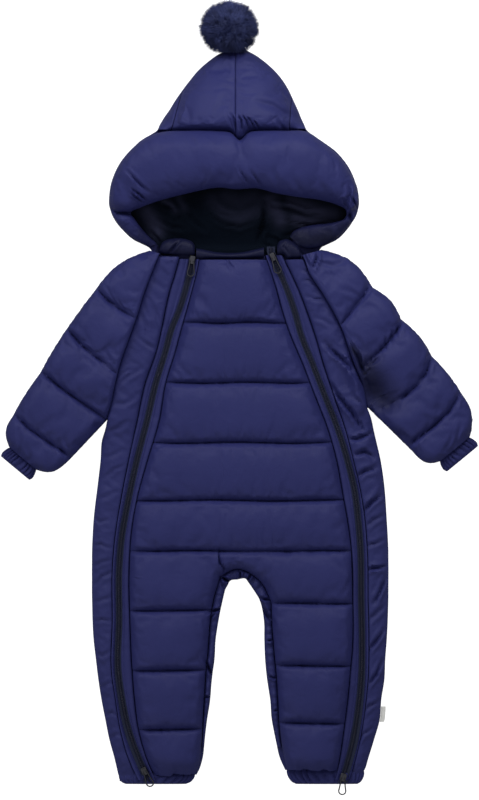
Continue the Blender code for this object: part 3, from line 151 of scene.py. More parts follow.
# hood brim: outer x, y, inner x, y, middle height, bulge above and below
BRIM = [
    (-116, 196, -106, 201, 22, 7, 7.4), (-131, 205, -116, 210, 25, 11, 10.4),
    (-148, 217, -128, 224, 28, 16, 13.4), (-159, 230, -135, 234, 30, 20, 15.4),
    (-165, 243, -139, 239, 31, 12, 16.4), (-167, 257, -136, 243, 36, 26, 21.4),
    (-163, 282, -126, 247, 40, 30, 25.4), (-150, 308, -113, 252, 44, 33, 29),
    (-127, 331, -97, 257, 49, 34, 31), (-101, 343, -73, 263, 54, 34, 28),
    (-69, 345, -47, 269, 57, 33, 20), (-36, 345, -26, 272, 59, 32, 15),
    (-4, 344, -3, 270, 59, 29, 15), (28, 345, 23, 271, 59, 32, 15),
    (60, 345, 47, 265, 57, 33, 20), (86, 344, 76, 260, 54, 34, 28),
    (108, 330, 100, 257, 49, 34, 31), (130, 311, 118, 253, 44, 33, 29),
    (142, 293, 129, 249, 40, 31, 25.4), (151, 275, 136, 245, 37, 28, 22.4),
    (154, 257, 138, 240, 36, 25, 21.4), (153, 245, 137, 236, 31, 13, 16.4),
    (148, 232, 132, 231, 30, 13, 15.4), (136, 218, 115, 227, 28, 11, 13.4),
    (121, 205, 96, 225, 27, 10, 12.4), (105, 197, 81, 222, 25, 9, 10.4),
    (91, 194, 70, 217, 24, 8, 9.4), (80, 196, 65, 210, 23, 6, 6),
]
# crown: y, left x, right x, height on the centre seam
CROWN = [
    (449, -17, 10, 31), (444, -27, 20, 35), (437, -37, 30, 39), (423, -53, 46, 45),
    (411, -63, 56, 52), (398, -73, 64, 59), (385, -82, 70, 65), (372, -90, 76, 71),
    (362, -97, 80, 75), (353, -102, 84, 75), (347, -104, 86, 70),
]
CROWN_EDGE = 17.0
CROWN_WALL = 13.0
CENTRE_SEAM_X = -4.5
BROW_Y = 347.0            # where the crown meets the brim
GUSSET = {"left": (397, -73, -86.5), "right": (392, 67.5, 64.5)}
HOOD_BACK = [
    (449, -17, 10), (444, -27, 20), (437, -37, 30), (423, -53, 46), (411, -63, 56), (398, -73, 64),
    (385, -82, 70), (372, -90, 76), (359, -98, 81), (346, -106, 88), (334, -126, 105),
    (321, -139, 123), (308, -150, 135), (282, -163, 149), (257, -166, 153), (244, -165, 152),
    (231, -158, 147), (218, -149, 138), (205, -134, 124), (195, -114, 104), (189, -112, 103),
    (184, -106, 94),
]
HOOD_BACK_THICK = 14.0
# lining: y, left x, right x, lift over its edge
LINING = [
    (300, -84, 76, 2), (280, -106, 98, 6), (262, -128, 122, 12), (245, -141, 141, 15),
    (232, -139, 134, 12), (224, -129, 104, 9), (216, -121, 76, 6), (207, -111, 67, 2),
    (196, -103, 62, 0.4), (186, -100, 60, 0.4),
]
# collars: x, low y, high y, top z
COLLAR = {
    "front": [
        (-55, 182, 195, 32), (-42, 181, 192.5, 34), (-30, 181, 190, 35), (-17, 181, 189, 35),
        (-5, 181, 189, 35), (8, 181, 190.5, 35), (19, 182, 193, 34), (32, 183, 196, 31),
    ],
    "left": [
        (-102, 189, 196, 29), (-98, 188, 203, 33), (-90, 187.5, 206.5, 36),
        (-82, 187, 207.5, 37), (-74, 186.5, 207.5, 37), (-66, 186, 206, 37),
        (-60, 186, 203, 36), (-57, 186, 199, 33),
    ],
    "right": [
        (49, 187, 199, 33), (52, 187, 204, 35), (57.5, 187, 206, 36), (63, 181.6, 206, 37),
        (69, 181.5, 203, 36), (76, 181.5, 197, 34), (80, 182.5, 190, 30),
    ],
}
POMPOM_AT = (-12.5, 477.5, 37.0)
TAPE_HALF = 4.2
TAPE_THICK = 1.5
ZIP_TOP = {"left": 184.0, "right": 197.0}
PLACKET_TOP = {"left": 181.0, "right": 186.0}
ZIP_END = -492.0
# across a zip's padded edge from the coil out: share of its width, height
PLACKET_PROFILE = [(0.0, 1.2), (0.07, 2.2), (0.17, 2.7), (0.27, 2.2), (0.37, 3.0), (0.55, 3.8),
                   (0.74, 4.2), (0.88, 4.0), (0.96, 3.0), (1.0, 1.2)]
# along a tooth of the coil: x, height
TOOTH = [(-2.5, 0.1), (-1.9, 1.1), (-0.6, 1.75), (0.7, 1.75), (1.4, 1.2)]
TOOTH_PITCH = 1.45
TOOTH_HALF = 0.5

# ---- folds, drawn on a plan of squares of PLAN mm counted from its top left corner ----------
PLAN = 1.283
PLAN_X0 = 239.0
PLAN_Y0 = 400.0
# each fold: depth mm (below 0 a ridge), half width mm, then x and y of its points in turn
FOLDS = [
    # crown
    (3.4, 4.0, 258, 103, 272, 107, 284, 114, 297, 118), (2.2, 2.5, 283, 90, 288, 98, 291, 106),
    (2.4, 2.4, 277, 118, 280, 125, 284, 131), (1.8, 5.0, 226, 92, 221, 106, 214, 118),
    (2.0, 2.4, 182, 104, 178, 114, 176, 124), (-1.6, 4.0, 190, 92, 184, 106, 182, 120),
    (3.4, 1.3, 231, 114, 234, 120, 236, 128), (3.6, 1.1, 238, 116, 241, 121, 243, 128),
    (3.6, 1.1, 242, 116, 246, 121, 249, 129), (3.6, 1.1, 246, 117, 251, 122, 255, 130),
    (3.0, 1.1, 251, 119, 256, 124, 260, 131), (1.2, 1.8, 226, 112, 229, 120, 233, 128),
    # brim
    (3.4, 1.8, 128, 172, 138, 182, 149, 193), (4.5, 1.3, 132, 189, 140, 195, 148, 202),
    (4.0, 1.2, 132, 194, 138, 199, 144, 203), (4.5, 1.7, 108, 209, 118, 212, 128, 213, 139, 209),
    (6.0, 1.8, 343, 200, 349, 212, 352, 226), (5.0, 1.5, 351, 197, 355, 205, 359, 212),
    (3.0, 1.4, 208, 178, 203, 185, 199, 192), (3.6, 1.5, 238, 168, 244, 177, 251, 187),
    (3.6, 1.5, 250, 170, 257, 180, 264, 191), (1.6, 3.0, 274, 172, 277, 181, 279, 189),
    (1.8, 4.0, 290, 178, 297, 186, 304, 194), (1.6, 3.5, 318, 182, 324, 190, 328, 199),
    (4.0, 2.4, 349, 184, 350, 194, 346, 206), (3.6, 2.0, 356, 190, 354, 199, 351, 208),
    (1.4, 7.0, 238, 142, 241, 150, 243, 160), (-2.0, 14.0, 150, 150, 190, 142, 225, 144),
    (-2.0, 14.0, 255, 146, 290, 145, 330, 160), (1.6, 6.0, 118, 176, 126, 186, 128, 198),
    # left side front
    (2.4, 2.4, 117, 386, 126, 378, 142, 368), (1.8, 2.0, 118, 376, 127, 371, 135, 369),
    (2.0, 3.0, 114, 404, 124, 404, 136, 396), (2.0, 2.2, 142, 314, 146, 326, 147, 338),
    (2.2, 2.4, 140, 339, 148, 345, 156, 350), (1.8, 2.6, 150, 300, 157, 316, 160, 332),
    (1.6, 3.0, 108, 432, 118, 428, 128, 420), (1.6, 2.6, 104, 458, 112, 456, 122, 450),
    (1.8, 2.4, 104, 478, 114, 470, 122, 466), (2.0, 2.0, 94, 518, 100, 522, 107, 520),
    (1.6, 2.8, 97, 500, 108, 496, 117, 490), (2.0, 2.2, 93, 546, 101, 545, 110, 548),
    (2.2, 2.4, 94, 586, 102, 577, 113, 572), (1.8, 2.4, 92, 567, 100, 563, 111, 560),
    (2.0, 2.0, 93, 621, 102, 620, 112, 621), (1.8, 2.4, 96, 654, 103, 656, 110, 651),
    (1.6, 2.6, 94, 603, 103, 600, 112, 597), (1.6, 2.6, 99, 690, 108, 684, 116, 683),
    (1.8, 2.2, 103, 716, 112, 713, 119, 718), (1.6, 2.2, 108, 741, 116, 735, 123, 736),
    # right side front
    (6.6, 2.6, 330, 384, 340, 398, 352, 413, 364, 432), (-2.4, 4.0, 336, 380, 348, 396, 358, 410),
    (5.0, 2.4, 349, 440, 360, 438, 372, 433), (5.4, 2.8, 354, 455, 364, 452, 374, 457),
    (-2.2, 4.0, 352, 446, 362, 445, 372, 443), (4.8, 2.6, 325, 343, 338, 356, 352, 369),
    (-2.2, 4.5, 326, 332, 340, 345, 354, 360), (2.6, 2.4, 334, 352, 343, 360, 354, 376),
    (2.6, 2.2, 345, 360, 350, 368, 357, 380), (2.2, 2.6, 316, 318, 324, 320, 333, 327),
    (1.8, 2.0, 301, 270, 309, 271, 317, 275), (1.8, 2.0, 303, 280, 311, 281, 320, 286),
    (2.0, 2.2, 306, 296, 315, 299, 326, 300), (3.0, 2.4, 352, 395, 360, 402, 367, 413),
    (-7.0, 5.5, 345, 358, 355, 384, 362, 408), (4.2, 2.8, 354, 480, 365, 471, 377, 468),
    (4.6, 2.4, 362, 514, 371, 503, 381, 496), (-1.8, 3.0, 364, 505, 371, 496, 379, 488),
    (3.0, 2.6, 364, 529, 374, 520, 383, 516), (2.6, 2.4, 363, 547, 374, 544, 384, 540),
    (5.0, 2.2, 364, 571, 375, 568, 386, 567), (4.6, 2.2, 374, 604, 380, 592, 386, 578),
    (2.6, 2.8, 365, 624, 374, 616, 384, 606), (4.2, 2.4, 366, 654, 375, 643, 384, 630),
    (3.8, 2.2, 368, 687, 376, 675, 383, 660), (2.4, 2.2, 362, 714, 370, 706, 379, 702),
    (2.4, 2.2, 356, 744, 363, 735, 372, 729), (5.0, 2.0, 318, 252, 316, 260, 312, 269),
    (5.0, 2.0, 303, 252, 306, 260, 310, 268),
    # front rows, at the zips
    (2.4, 2.2, 313, 381, 317, 389, 323, 400), (2.0, 2.0, 318, 380, 323, 388, 326, 398),
    (1.6, 2.2, 170, 368, 176, 372, 181, 379), (1.6, 2.0, 150, 451, 155, 449, 162, 446),
    (1.6, 2.4, 334, 590, 341, 596, 348, 584), (1.4, 2.2, 330, 560, 340, 566, 347, 575),
    (4.5, 1.3, 219, 549, 219, 556, 219.5, 563, 223, 567, 225.5, 575),
    # crotch strip
    (4.5, 1.6, 221, 577, 226, 580, 232, 583), (-1.6, 1.6, 222, 582, 226, 585),
    (2.6, 1.3, 240, 571, 240.5, 579), (3.2, 1.4, 252, 574, 249, 578, 246, 582),
    (3.0, 1.7, 259, 598, 264, 599.5, 272, 600),
    (5.0, 2.4, 258, 600, 264, 611, 269, 618, 274, 622), (4.5, 1.7, 206, 613, 214, 611, 225, 608),
    (3.0, 1.5, 208, 621, 212, 616, 216, 613), (4.0, 1.7, 203, 657, 208, 667, 213, 678),
    (2.2, 1.4, 267, 641, 275, 640), (2.4, 1.5, 200, 700, 206, 697, 212, 699),
    (2.4, 1.5, 268, 676, 274, 679, 281, 676), (2.0, 1.4, 273, 712, 284, 709),
    # neck band
    (3.4, 1.7, 181, 239, 175, 246, 168, 254), (2.4, 1.5, 158, 256, 171, 257.5, 186, 256),
    (2.0, 1.4, 226, 258, 229, 263, 233, 269), (2.0, 1.6, 287, 240, 284, 247, 289, 254),
    # sleeves
    (1.8, 2.6, 340, 290, 350, 291, 360, 297), (2.0, 3.0, 322, 262, 333, 265, 343, 263),
    (1.8, 2.2, 19, 430, 21, 443, 20, 454), (1.8, 2.2, 27, 446, 30, 455, 30, 463),
    (1.8, 2.4, 58, 440, 61, 449, 66, 457), (1.6, 2.4, 46, 452, 47, 461, 50, 468),
    (2.0, 2.4, 461, 424, 457, 435, 455, 446), (1.8, 2.2, 453, 433, 449, 443, 444, 451),
    (3.2, 1.3, 393, 330, 391, 337, 393, 345), (2.4, 1.2, 397, 327, 397, 333, 399, 340),
    (2.8, 1.4, 386, 337, 385, 344, 387, 351), (2.2, 1.2, 380, 346, 381, 352, 384, 358),
    (6.5, 2.0, 352, 346, 358, 357, 364, 374), (3.4, 1.6, 347, 338, 352, 344, 360, 350),
    (3.6, 1.8, 366, 366, 372, 364, 380, 357), (1.6, 3.0, 352, 334, 360, 342, 363, 352),
    (1.4, 3.0, 104, 350, 110, 360, 116, 366),
]
# folds of the lining, told like the others
LINING_FOLDS = [
    (3.0, 2.6, 266, 200, 264, 215, 261, 230, 258, 242),
    (2.0, 2.0, 206, 205, 212, 216, 224, 224, 240, 227, 254, 222),
    (1.6, 1.8, 213, 203, 220, 211, 232, 216, 246, 214),
    (2.2, 2.2, 272, 205, 290, 208, 306, 214, 322, 212),
    (2.0, 2.0, 276, 218, 294, 222, 312, 226, 330, 222), (2.6, 2.6, 150, 232, 155, 238, 160, 245),
    (2.0, 2.0, 164, 203, 172, 208, 178, 216, 172, 222),
    (1.8, 2.2, 150, 212, 158, 218, 170, 226, 184, 229), (2.0, 2.4, 186, 206, 192, 218, 204, 230),
    (1.8, 2.0, 150, 246, 158, 250, 166, 252), (2.0, 2.6, 284, 236, 300, 234, 318, 238),
    (2.4, 2.4, 268, 236, 276, 240, 284, 246),
]

# patches of painted light and painted shade in the cloth's colour: strength, half width mm, then x
# and y
# painted light: paler patches on the lining's cheek and crown panels, where they face the light
LINING_PAINTED_LIGHT_PATCHES = [
    (1.0, 10.0, 145, 211, 151, 219, 157, 231), (0.7, 4.0, 163, 200, 170, 203, 175, 211),
    (0.5, 5.0, 178, 196, 181, 203, 184, 208),
    (0.5, 10.0, 213, 200, 224, 212, 240, 217, 254, 210, 262, 198),
    (0.5, 12.0, 226, 197, 240, 202, 254, 197), (1.0, 10.0, 271, 199, 276, 210, 281, 219),
    (1.0, 10.0, 292, 202, 305, 207, 318, 212, 334, 215), (1.0, 9.0, 296, 219, 310, 223, 326, 223),
    (0.5, 7.0, 128, 200, 136, 206, 142, 214),
]
# painted shade on the right sleeve: a broad patch in the armpit hollow and a thin line along the
# lower raglan seam, where the body's shadow falls
ARMPIT_PAINTED_SHADE = [
    (0.74, 19.0, 368, 368, 374, 388, 384, 400), (0.9, 4.5, 352, 348, 358, 358, 365, 374),
]
# painted shade on the hood brim's lower ends, which lie in the shadow of the brim's roll
CHEEK_PAINTED_SHADE = [
    (0.92, 22.0, 290, 238, 311, 240, 328, 237), (0.7, 12.0, 335, 231, 341, 226),
    (0.65, 9.0, 141, 232, 150, 243, 160, 252),
]

# ---- colours (linear) -----------------------------------------------------------------------
NAVY = (0.0178, 0.0203, 0.0920, 1.0)
NAVY_DEEP = (0.0146, 0.0170, 0.0780, 1.0)
# painted shade: the darker navy that the nylon's colour turns to where shade falls, in the armpit,
# on the brim's lower ends and on the neck band
NAVY_PAINTED_SHADE = (0.0018, 0.0025, 0.0125, 1.0)
# painted shade: the lining's colour and its partner for the random drift are darkened to near
# black, standing for the shade inside the hood
LINING_COLOUR = (0.0012, 0.0028, 0.0065, 1.0)
LINING_PALE = (0.0024, 0.0040, 0.0085, 1.0)
# painted light: the paler colour that the lining turns to where its panels face the light
LINING_PAINTED_LIGHT_COLOUR = (0.0170, 0.0185, 0.0390, 1.0)
TAPE_COLOUR = (0.0120, 0.0155, 0.0350, 1.0)
COIL_COLOUR = (0.0045, 0.0055, 0.0180, 1.0)
THREAD_COLOUR = (0.020, 0.022, 0.090, 1.0)
FUR_ROOT = (0.003, 0.005, 0.024, 1.0)
FUR_TIP = (0.040, 0.053, 0.175, 1.0)
METAL_COLOUR = (0.062, 0.063, 0.074, 1.0)
RIBBON_COLOUR = (0.62, 0.62, 0.60, 1.0)
COLLAR_PAINTED_SHADE = 0.85      # share of the painted shade colour in the neck band, standing for the hood brim's shadow
WEAVE_THREADS = 420.0

# ---- floor, light and camera, metres --------------------------------------------------------
FLOOR_HALF = 14.0
FLOOR_LEVEL = -0.0006
SKY = 0.54
LENS = 400.0
SENSOR = 36.0
SEEN_LENGTH = 1.0264      # of the view along the suit, at the height SEEN_AT
SEEN_AT = 0.040
CAMERA_X = 0.0006


# ---- curves and small mathematics -------------------------------------------------------------
def smooth_curve(table, column):
    """A smooth function of the table's first column, through the rows of one column."""
    rows = np.array(sorted(table), float)
    ys, xs = rows[:, 0], rows[:, column]
    slopes = np.gradient(xs, ys)

    def value(y):
        y = np.clip(y, ys[0], ys[-1])
        k = np.clip(np.searchsorted(ys, y) - 1, 0, len(ys) - 2)
        span = ys[k + 1] - ys[k]
        u = (y - ys[k]) / span
        return ((1 + 2 * u) * (1 - u) ** 2 * xs[k] + u * (1 - u) ** 2 * span * slopes[k]
                + u * u * (3 - 2 * u) * xs[k + 1] + u * u * (u - 1) * span * slopes[k + 1])

    return value


def clamp(share):
    """Kept between 0 and 1."""
    return np.clip(share, 0, 1)


def both_edges(table):
    """The left and the right edge of a table of outlines."""
    return [smooth_curve(table, column) for column in (1, 2)]


def smooth_rows(rows, steps):
    """Rows of numbers with steps - 1 smooth rows put between each two."""
    rows = np.array(rows, float)
    slopes = np.gradient(rows, axis=0)
    made = []
    for k in range(len(rows) - 1):
        for i in range(steps):
            u = i / steps
            made.append((1 + 2 * u) * (1 - u) ** 2 * rows[k] + u * (1 - u) ** 2 * slopes[k]
                        + u * u * (3 - 2 * u) * rows[k + 1] + u * u * (u - 1) * slopes[k + 1])
    made.append(rows[-1])
    return np.array(made)


def dense(start, end, count):
    """Numbers from start to end, closer together towards both."""
    u = (1 - np.cos(np.linspace(0, math.pi, count + 1))) / 2
    return start + (end - start) * (0.82 * u + 0.18 * np.linspace(0, 1, count + 1))


def reach(points, line):
    """Distance of each point from a line of points, and how far along it the nearest place is."""
    line = np.asarray(line, float)
    best = np.full(len(points), 1e9)
    place = np.zeros(len(points))
    lengths = np.linalg.norm(np.diff(line, axis=0), axis=1)
    total = lengths.sum()
    walked = 0.0
    for a, b, length in zip(line[:-1], line[1:], lengths):
        if length < 1e-9:
            continue
        run = (b - a) / length
        s = np.clip((points - a) @ run, 0, length)
        away = np.linalg.norm(points - a - s[:, None] * run, axis=1)
        closer = away < best
        best = np.where(closer, away, best)
        place = np.where(closer, (walked + s) / total, place)
        walked += length
    return best, place


def walk(line):
    """Length walked from the start of a line to each of its points."""
    return np.concatenate([[0], np.cumsum(np.linalg.norm(np.diff(line, axis=0), axis=1))])


def nearest(points, lines):
    return np.min([reach(points, line)[0] for line in lines], axis=0)


def close(away, width):
    """1 at no distance, fading quickly over one width."""
    return np.exp(-away / width)


def hump(away, width):
    """1 at no distance, a soft round hump one width to each side."""
    return np.exp(-(away / width) ** 2)


def bulge(distance, far):
    """0 at a seam, rising like a quarter circle to 1 at far from it."""
    s = clamp(distance / far)
    return np.sqrt(1 - (1 - s) ** 2)


def puff(distance, far):
    """Like bulge, softer: the crown of a stuffed row."""
    s = clamp(distance / far)
    return (1 - (1 - s) ** 2.1) ** 0.8


def drift(x, y, size, seed):
    """Smooth uneven field between -1 and 1, with humps about size mm apart."""
    made = np.random.default_rng(seed)
    table = made.uniform(-1, 1, (64, 64))
    u, v = np.asarray(x) / size + 31.3, np.asarray(y) / size + 17.7
    i, j = np.floor(u).astype(int), np.floor(v).astype(int)
    fu, fv = u - i, v - j
    fu, fv = fu * fu * (3 - 2 * fu), fv * fv * (3 - 2 * fv)

    def at(a, b):
        return table[a % 64, b % 64]

    return ((at(i, j) * (1 - fu) + at(i + 1, j) * fu) * (1 - fv)
            + (at(i, j + 1) * (1 - fu) + at(i + 1, j + 1) * fu) * fv)


def plan_to_mm(points):
    """Places in mm from x and y of plan points in turn."""
    x, y = np.reshape(points, (-1, 2)).astype(float).T
    return np.stack([(x - PLAN_X0) * PLAN, (PLAN_Y0 - y) * PLAN], axis=1)


def patches(points, table):
    """Soft patches of painted light and shade along lines of plan points."""
    shade = np.zeros(len(points))
    for strength, width, *line in table:
        away = reach(points, plan_to_mm(line))[0]
        shade = np.maximum(shade, strength * hump(away, width))
    return shade


def fold_lines(table):
    return [(depth, width, plan_to_mm(line)) for depth, width, *line in table]


def fading(place):
    """0 at both ends of a fold, 1 in its middle."""
    return np.sin(math.pi * clamp(place * 0.9 + 0.05)) ** 0.7


FOLD_LINES, LINING_LINES = fold_lines(FOLDS), fold_lines(LINING_FOLDS)


def folds(points):
    """Height that the folds add: a soft trough with raised lips, fading at both ends."""
    total = np.zeros(len(points))
    for depth, width, line in FOLD_LINES:
        low, high = line.min(0) - 4 * width, line.max(0) + 4 * width
        near = np.where(((points > low) & (points < high)).all(1))[0]
        if not len(near):
            continue
        away, place = reach(points[near], line)
        lips = 0.45 * hump(away - 2.1 * width, 1.1 * width)
        total[near] += depth * (lips - hump(away, width)) * fading(place)
    return total


def parting(y):
    """Height of the parting between the back and the front layers."""
    u = clamp((HEM_TAPER_TOP - y) / (HEM_TAPER_TOP - HEM_Y["left"]))
    return BACK_THICK + (HEM_PARTING - BACK_THICK) * u


def thinning(y):
    """How far the padding goes flat towards the hems, from 1 to a half."""
    u = clamp((y - HEM_Y["left"]) / 24.0)
    return 0.5 + 0.5 * np.sin(u * math.pi / 2)


def tape_floor(y):
    return parting(y) + 6.2


# ---- making meshes --------------------------------------------------------------------------
PIECES = {}


def place_in_scene(thing):
    bpy.context.scene.collection.objects.link(thing)


def finish_piece(name, points, faces, material, replaced=(), slot="navy_nylon", sharp=50.0,
                 facing=None):
    """A closed mesh in metres, riding on the garment; the last argument gives the share per point
    of painted light and shade in its colour.
    """
    mesh = bpy.data.meshes.new(name)
    mesh.from_pydata((np.asarray(points, float) * MM).tolist(), [], faces)
    shape = bmesh.new()
    shape.from_mesh(mesh)
    bmesh.ops.recalc_face_normals(shape, faces=shape.faces)
    shape.to_mesh(mesh)
    shape.free()
    mesh.shade_smooth()
    mesh.set_sharp_from_angle(angle=math.radians(sharp))
    mesh.materials.append(material)
    # per-point share of the painted light and shade colour
    if facing is not None:
        mesh.attributes.new("facing", "FLOAT", "POINT").data.foreach_set("value", facing)
    piece = bpy.data.objects.new(name, mesh)
    place_in_scene(piece)
    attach(piece, GARMENT)
    if replaced:
        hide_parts(*replaced)
    PIECES[name] = piece
    return piece


def sew(node, points, faces, material, **more):
    """The cloth of one sewn piece, in place of the solid of that name."""
    return finish_piece(node + "_cloth", points, faces, material, [node], **more)


class Plan:
    """A flat net of quads in plan, that becomes a closed panel with a top and an underside."""

    def __init__(self):
        self.known = {}
        self.points = []
        self.quads = []

    def spot(self, x, y):
        key = (round(float(x), 3), round(float(y), 3))
        if key not in self.known:
            self.known[key] = len(self.points)
            self.points.append(key)
        return self.known[key]

    def grid(self, xs, ys):
        """xs and ys: arrays of rows by columns."""
        ids = [[self.spot(x, y) for x, y in zip(row_x, row_y)] for row_x, row_y in zip(xs, ys)]
        for one, two in zip(ids, ids[1:]):
            for k in range(len(one) - 1):
                quad = [one[k], one[k + 1], two[k + 1], two[k]]
                if len(set(quad)) == 4:
                    self.quads.append(quad)
        return self

    def solid(self, top, low):
        """Points and faces of the closed panel; top and low give heights over the points."""
        flat = np.array(self.points, float)
        count = len(flat)
        high = np.column_stack([flat, top(flat)])
        deep = np.column_stack([flat, low(flat)])
        deep[:, 2] = np.minimum(deep[:, 2], high[:, 2] - 0.4)
        faces = [tuple(q) for q in self.quads]
        faces += [tuple(k + count for k in reversed(q)) for q in self.quads]
        edges = {}
        for q in self.quads:
            for a, b in zip(q, q[1:] + q[:1]):
                edges[(a, b)] = edges.get((a, b), 0) + 1
        for a, b in edges:
            if (b, a) not in edges:
                faces.append((b, a, a + count, b + count))
        return np.vstack([high, deep]), faces


def spread(ys, start, end, shares):
    """x and y of rows that run from one edge to the other, both functions of y."""
    a, b = start(ys), end(ys)
    return a[:, None] + (b - a)[:, None] * shares, np.repeat(ys[:, None], len(shares), axis=1)


def strip(ys, left, right, columns):
    """Plan of a strip between two edges."""
    return Plan().grid(*spread(ys, left, right, dense(0, 1, columns)))


def tube_faces(first, spans, around, tip=False):
    """Faces of a closed tube through rings of points; it may end in one point, its tip."""
    faces = []
    for k in range(spans * around):
        a, b = first + k, first + k - k % around + (k + 1) % around
        faces.append((a, b, b + around, a + around))
    end = first + spans * around
    if tip:
        faces += [(end + k, end + (k + 1) % around, end + around) for k in range(around)]
    faces.append(tuple(reversed(range(first, first + around))))
    if not tip:
        faces.append(tuple(range(end, end + around)))
    return faces


def loft(rings, caps=True):
    """Points and faces of a body through closed rings; without caps the last joins the first."""
    rings = np.asarray(rings, float)
    count, size = rings.shape[:2]
    points = rings.reshape(-1, 3)
    if caps:
        return points, tube_faces(0, count - 1, size)
    round_trip = tube_faces(0, count, size)[:-2]
    return points, [tuple(k % len(points) for k in face) for face in round_trip]


def rows_between(marks, per_row):
    """y values from the first mark to the last, closer together at each mark."""
    made = []
    for high, low in zip(marks, marks[1:]):
        made += list(dense(high, low, per_row))[:-1]
    return np.array(made + [marks[-1]], float)


# ---- stuffing: the cloth is blown up between its seams --------------------------------------
CLOTH_RULES = {
    "quality": 5, "mass": 0.15, "tension_stiffness": 12.0, "compression_stiffness": 6.0,
    "shear_stiffness": 4.0, "bending_stiffness": 0.15, "air_damping": 2.0, "use_pressure": True,
    "vertex_group_mass": "sewn", "pin_stiffness": 1.0,
}


def per_point(mesh, what):
    values = np.empty(len(mesh.vertices) * 3)
    mesh.vertices.foreach_get(what, values)
    return values.reshape(-1, 3)


def stuff(piece, seams, cap, reach_mm=5.0, slack=0.06, pressure=4.0, frames=15):
    """Lets the upper cloth of a piece swell and crumple between its seams, by at most cap mm."""
    mesh = piece.data
    rest = per_point(mesh, "co")
    up = per_point(mesh, "normal")[:, 2]
    away = nearest(rest[:, :2] / MM, seams)
    loose = clamp((away - 1.2) / reach_mm) * clamp((up + 0.1) / 0.35)
    blown = bpy.data.objects.new("blown", mesh.copy())
    place_in_scene(blown)
    sewn = blown.vertex_groups.new(name="sewn")
    for k in np.where(loose < 1)[0]:
        sewn.add([int(k)], float(1 - loose[k]), "REPLACE")
    cloth = blown.modifiers.new("cloth", "CLOTH")
    rules = cloth.settings
    for rule, value in CLOTH_RULES.items():
        setattr(rules, rule, value)
    rules.uniform_pressure_force = pressure
    rules.shrink_min = -slack
    rules.effector_weights.gravity = 0.0
    cloth.collision_settings.use_collision = False
    cloth.point_cache.frame_start = 1
    cloth.point_cache.frame_end = frames
    for frame_number in range(1, frames + 1):
        bpy.context.scene.frame_set(frame_number)
    done = blown.evaluated_get(bpy.context.evaluated_depsgraph_get())
    move = np.nan_to_num(per_point(done.data, "co") - rest)
    length = np.linalg.norm(move, axis=1)
    limit = cap * MM * np.tanh(length / (cap * MM)) / np.maximum(length, 1e-9)
    mesh.vertices.foreach_set("co", (rest + move * (limit * loose)[:, None]).ravel())
    mesh.update()
    bpy.data.objects.remove(blown, do_unlink=True)
    bpy.context.scene.frame_set(1)


# ---- body and legs --------------------------------------------------------------------------
def forked_plan(torso_ys, left, right, arc, leg_rows, leg_edges, spacing):
    """Plan of a panel that is one across the body and parts into two legs round the crotch."""
    arc = smooth_rows(arc, max(3, int(30 / spacing) - 2))
    fork = torso_ys[-1]
    y_left, y_right = arc[0][1], arc[-1][1]
    leg_columns = int(104 / spacing)
    t = dense(0, 1, leg_columns)
    xl, xr = left(fork), right(fork)
    split = [(arc[0][0] - xl) / (xr - xl), (arc[-1][0] - xl) / (xr - xl)]
    middle = np.linspace(split[0], split[1], len(arc))[1:-1]
    shares = np.concatenate([t * split[0], middle, split[1] + t * (1 - split[1])])
    xs = [left(y) + (right(y) - left(y)) * shares for y in torso_ys]
    ys = [np.full(len(shares), float(y)) for y in torso_ys]
    crotch_x = np.concatenate([left(y_left) + (arc[0][0] - left(y_left)) * t, arc[1:-1, 0],
                               arc[-1][0] + (right(y_right) - arc[-1][0]) * t])
    crotch_y = np.concatenate([np.full(len(t), y_left), arc[1:-1, 1], np.full(len(t), y_right)])
    steps = max(6, int(45 / spacing))
    for k in range(1, steps + 1):
        u = k / steps
        xs.append(xs[len(torso_ys) - 1] * (1 - u) + crotch_x * u)
        ys.append(ys[len(torso_ys) - 1] * (1 - u) + crotch_y * u)
    plan = Plan().grid(np.array(xs), np.array(ys))
    for side in (0, 1):
        leg_x, leg_y = spread(leg_rows[side], *leg_edges[side], t if side == 0 else 1 - t)
        start = slice(0, len(t)) if side == 0 else slice(len(shares) - len(t), None)
        plan.grid(np.vstack([crotch_x[start], leg_x]), np.vstack([crotch_y[start], leg_y]))
    return plan


def offset(curve, by):
    """The curve moved sideways."""
    return lambda y: curve(y) + by


def line_of(curve, start, end, count):
    """Points along a curve from one y to another."""
    ys = np.linspace(start, end, count)
    return np.column_stack([curve(ys), ys])


def quilt_lines():
    """Seams across the front: five rows over the body, then each leg by itself."""
    left, right = smooth_curve(ZIP["left"], 3), smooth_curve(ZIP["right"], 3)
    inseam = both_edges(INSEAM)
    lines = []
    for row, (yl, yr) in enumerate(FRONT_QUILTS[1:-1], 1):
        if row <= TORSO_ROWS:
            xs = np.linspace(left(yl), right(yr), 9)
            sway = 0.8 * np.sin(np.arange(9) * 1.3 + row)
            lines.append(np.column_stack([xs, np.linspace(yl, yr, 9) + sway]))
        else:
            lines.append(np.array([[left(yl), yl - 1.0], [inseam[0](yl), yl + 0.5]]))
            lines.append(np.array([[inseam[1](yr), yr + 0.5], [right(yr), yr - 1.0]]))
    return lines


QUILT_LINES = quilt_lines()


def puckers(points, away, size, reach_mm, seed):
    """Small gathers that run out from a seam."""
    x, y = points.T[:2]
    wave = drift(x + y * 0.25, y * 0.3 + 9.0, size, seed)
    wave += 0.6 * drift(x + 40, y * 0.5, size * 0.55, seed + 1)
    return wave * close(away, reach_mm)


def from_hem(points):
    x, y = points.T[:2]
    return np.abs(y - np.where(x < 0, HEM_Y["left"], HEM_Y["right"]))


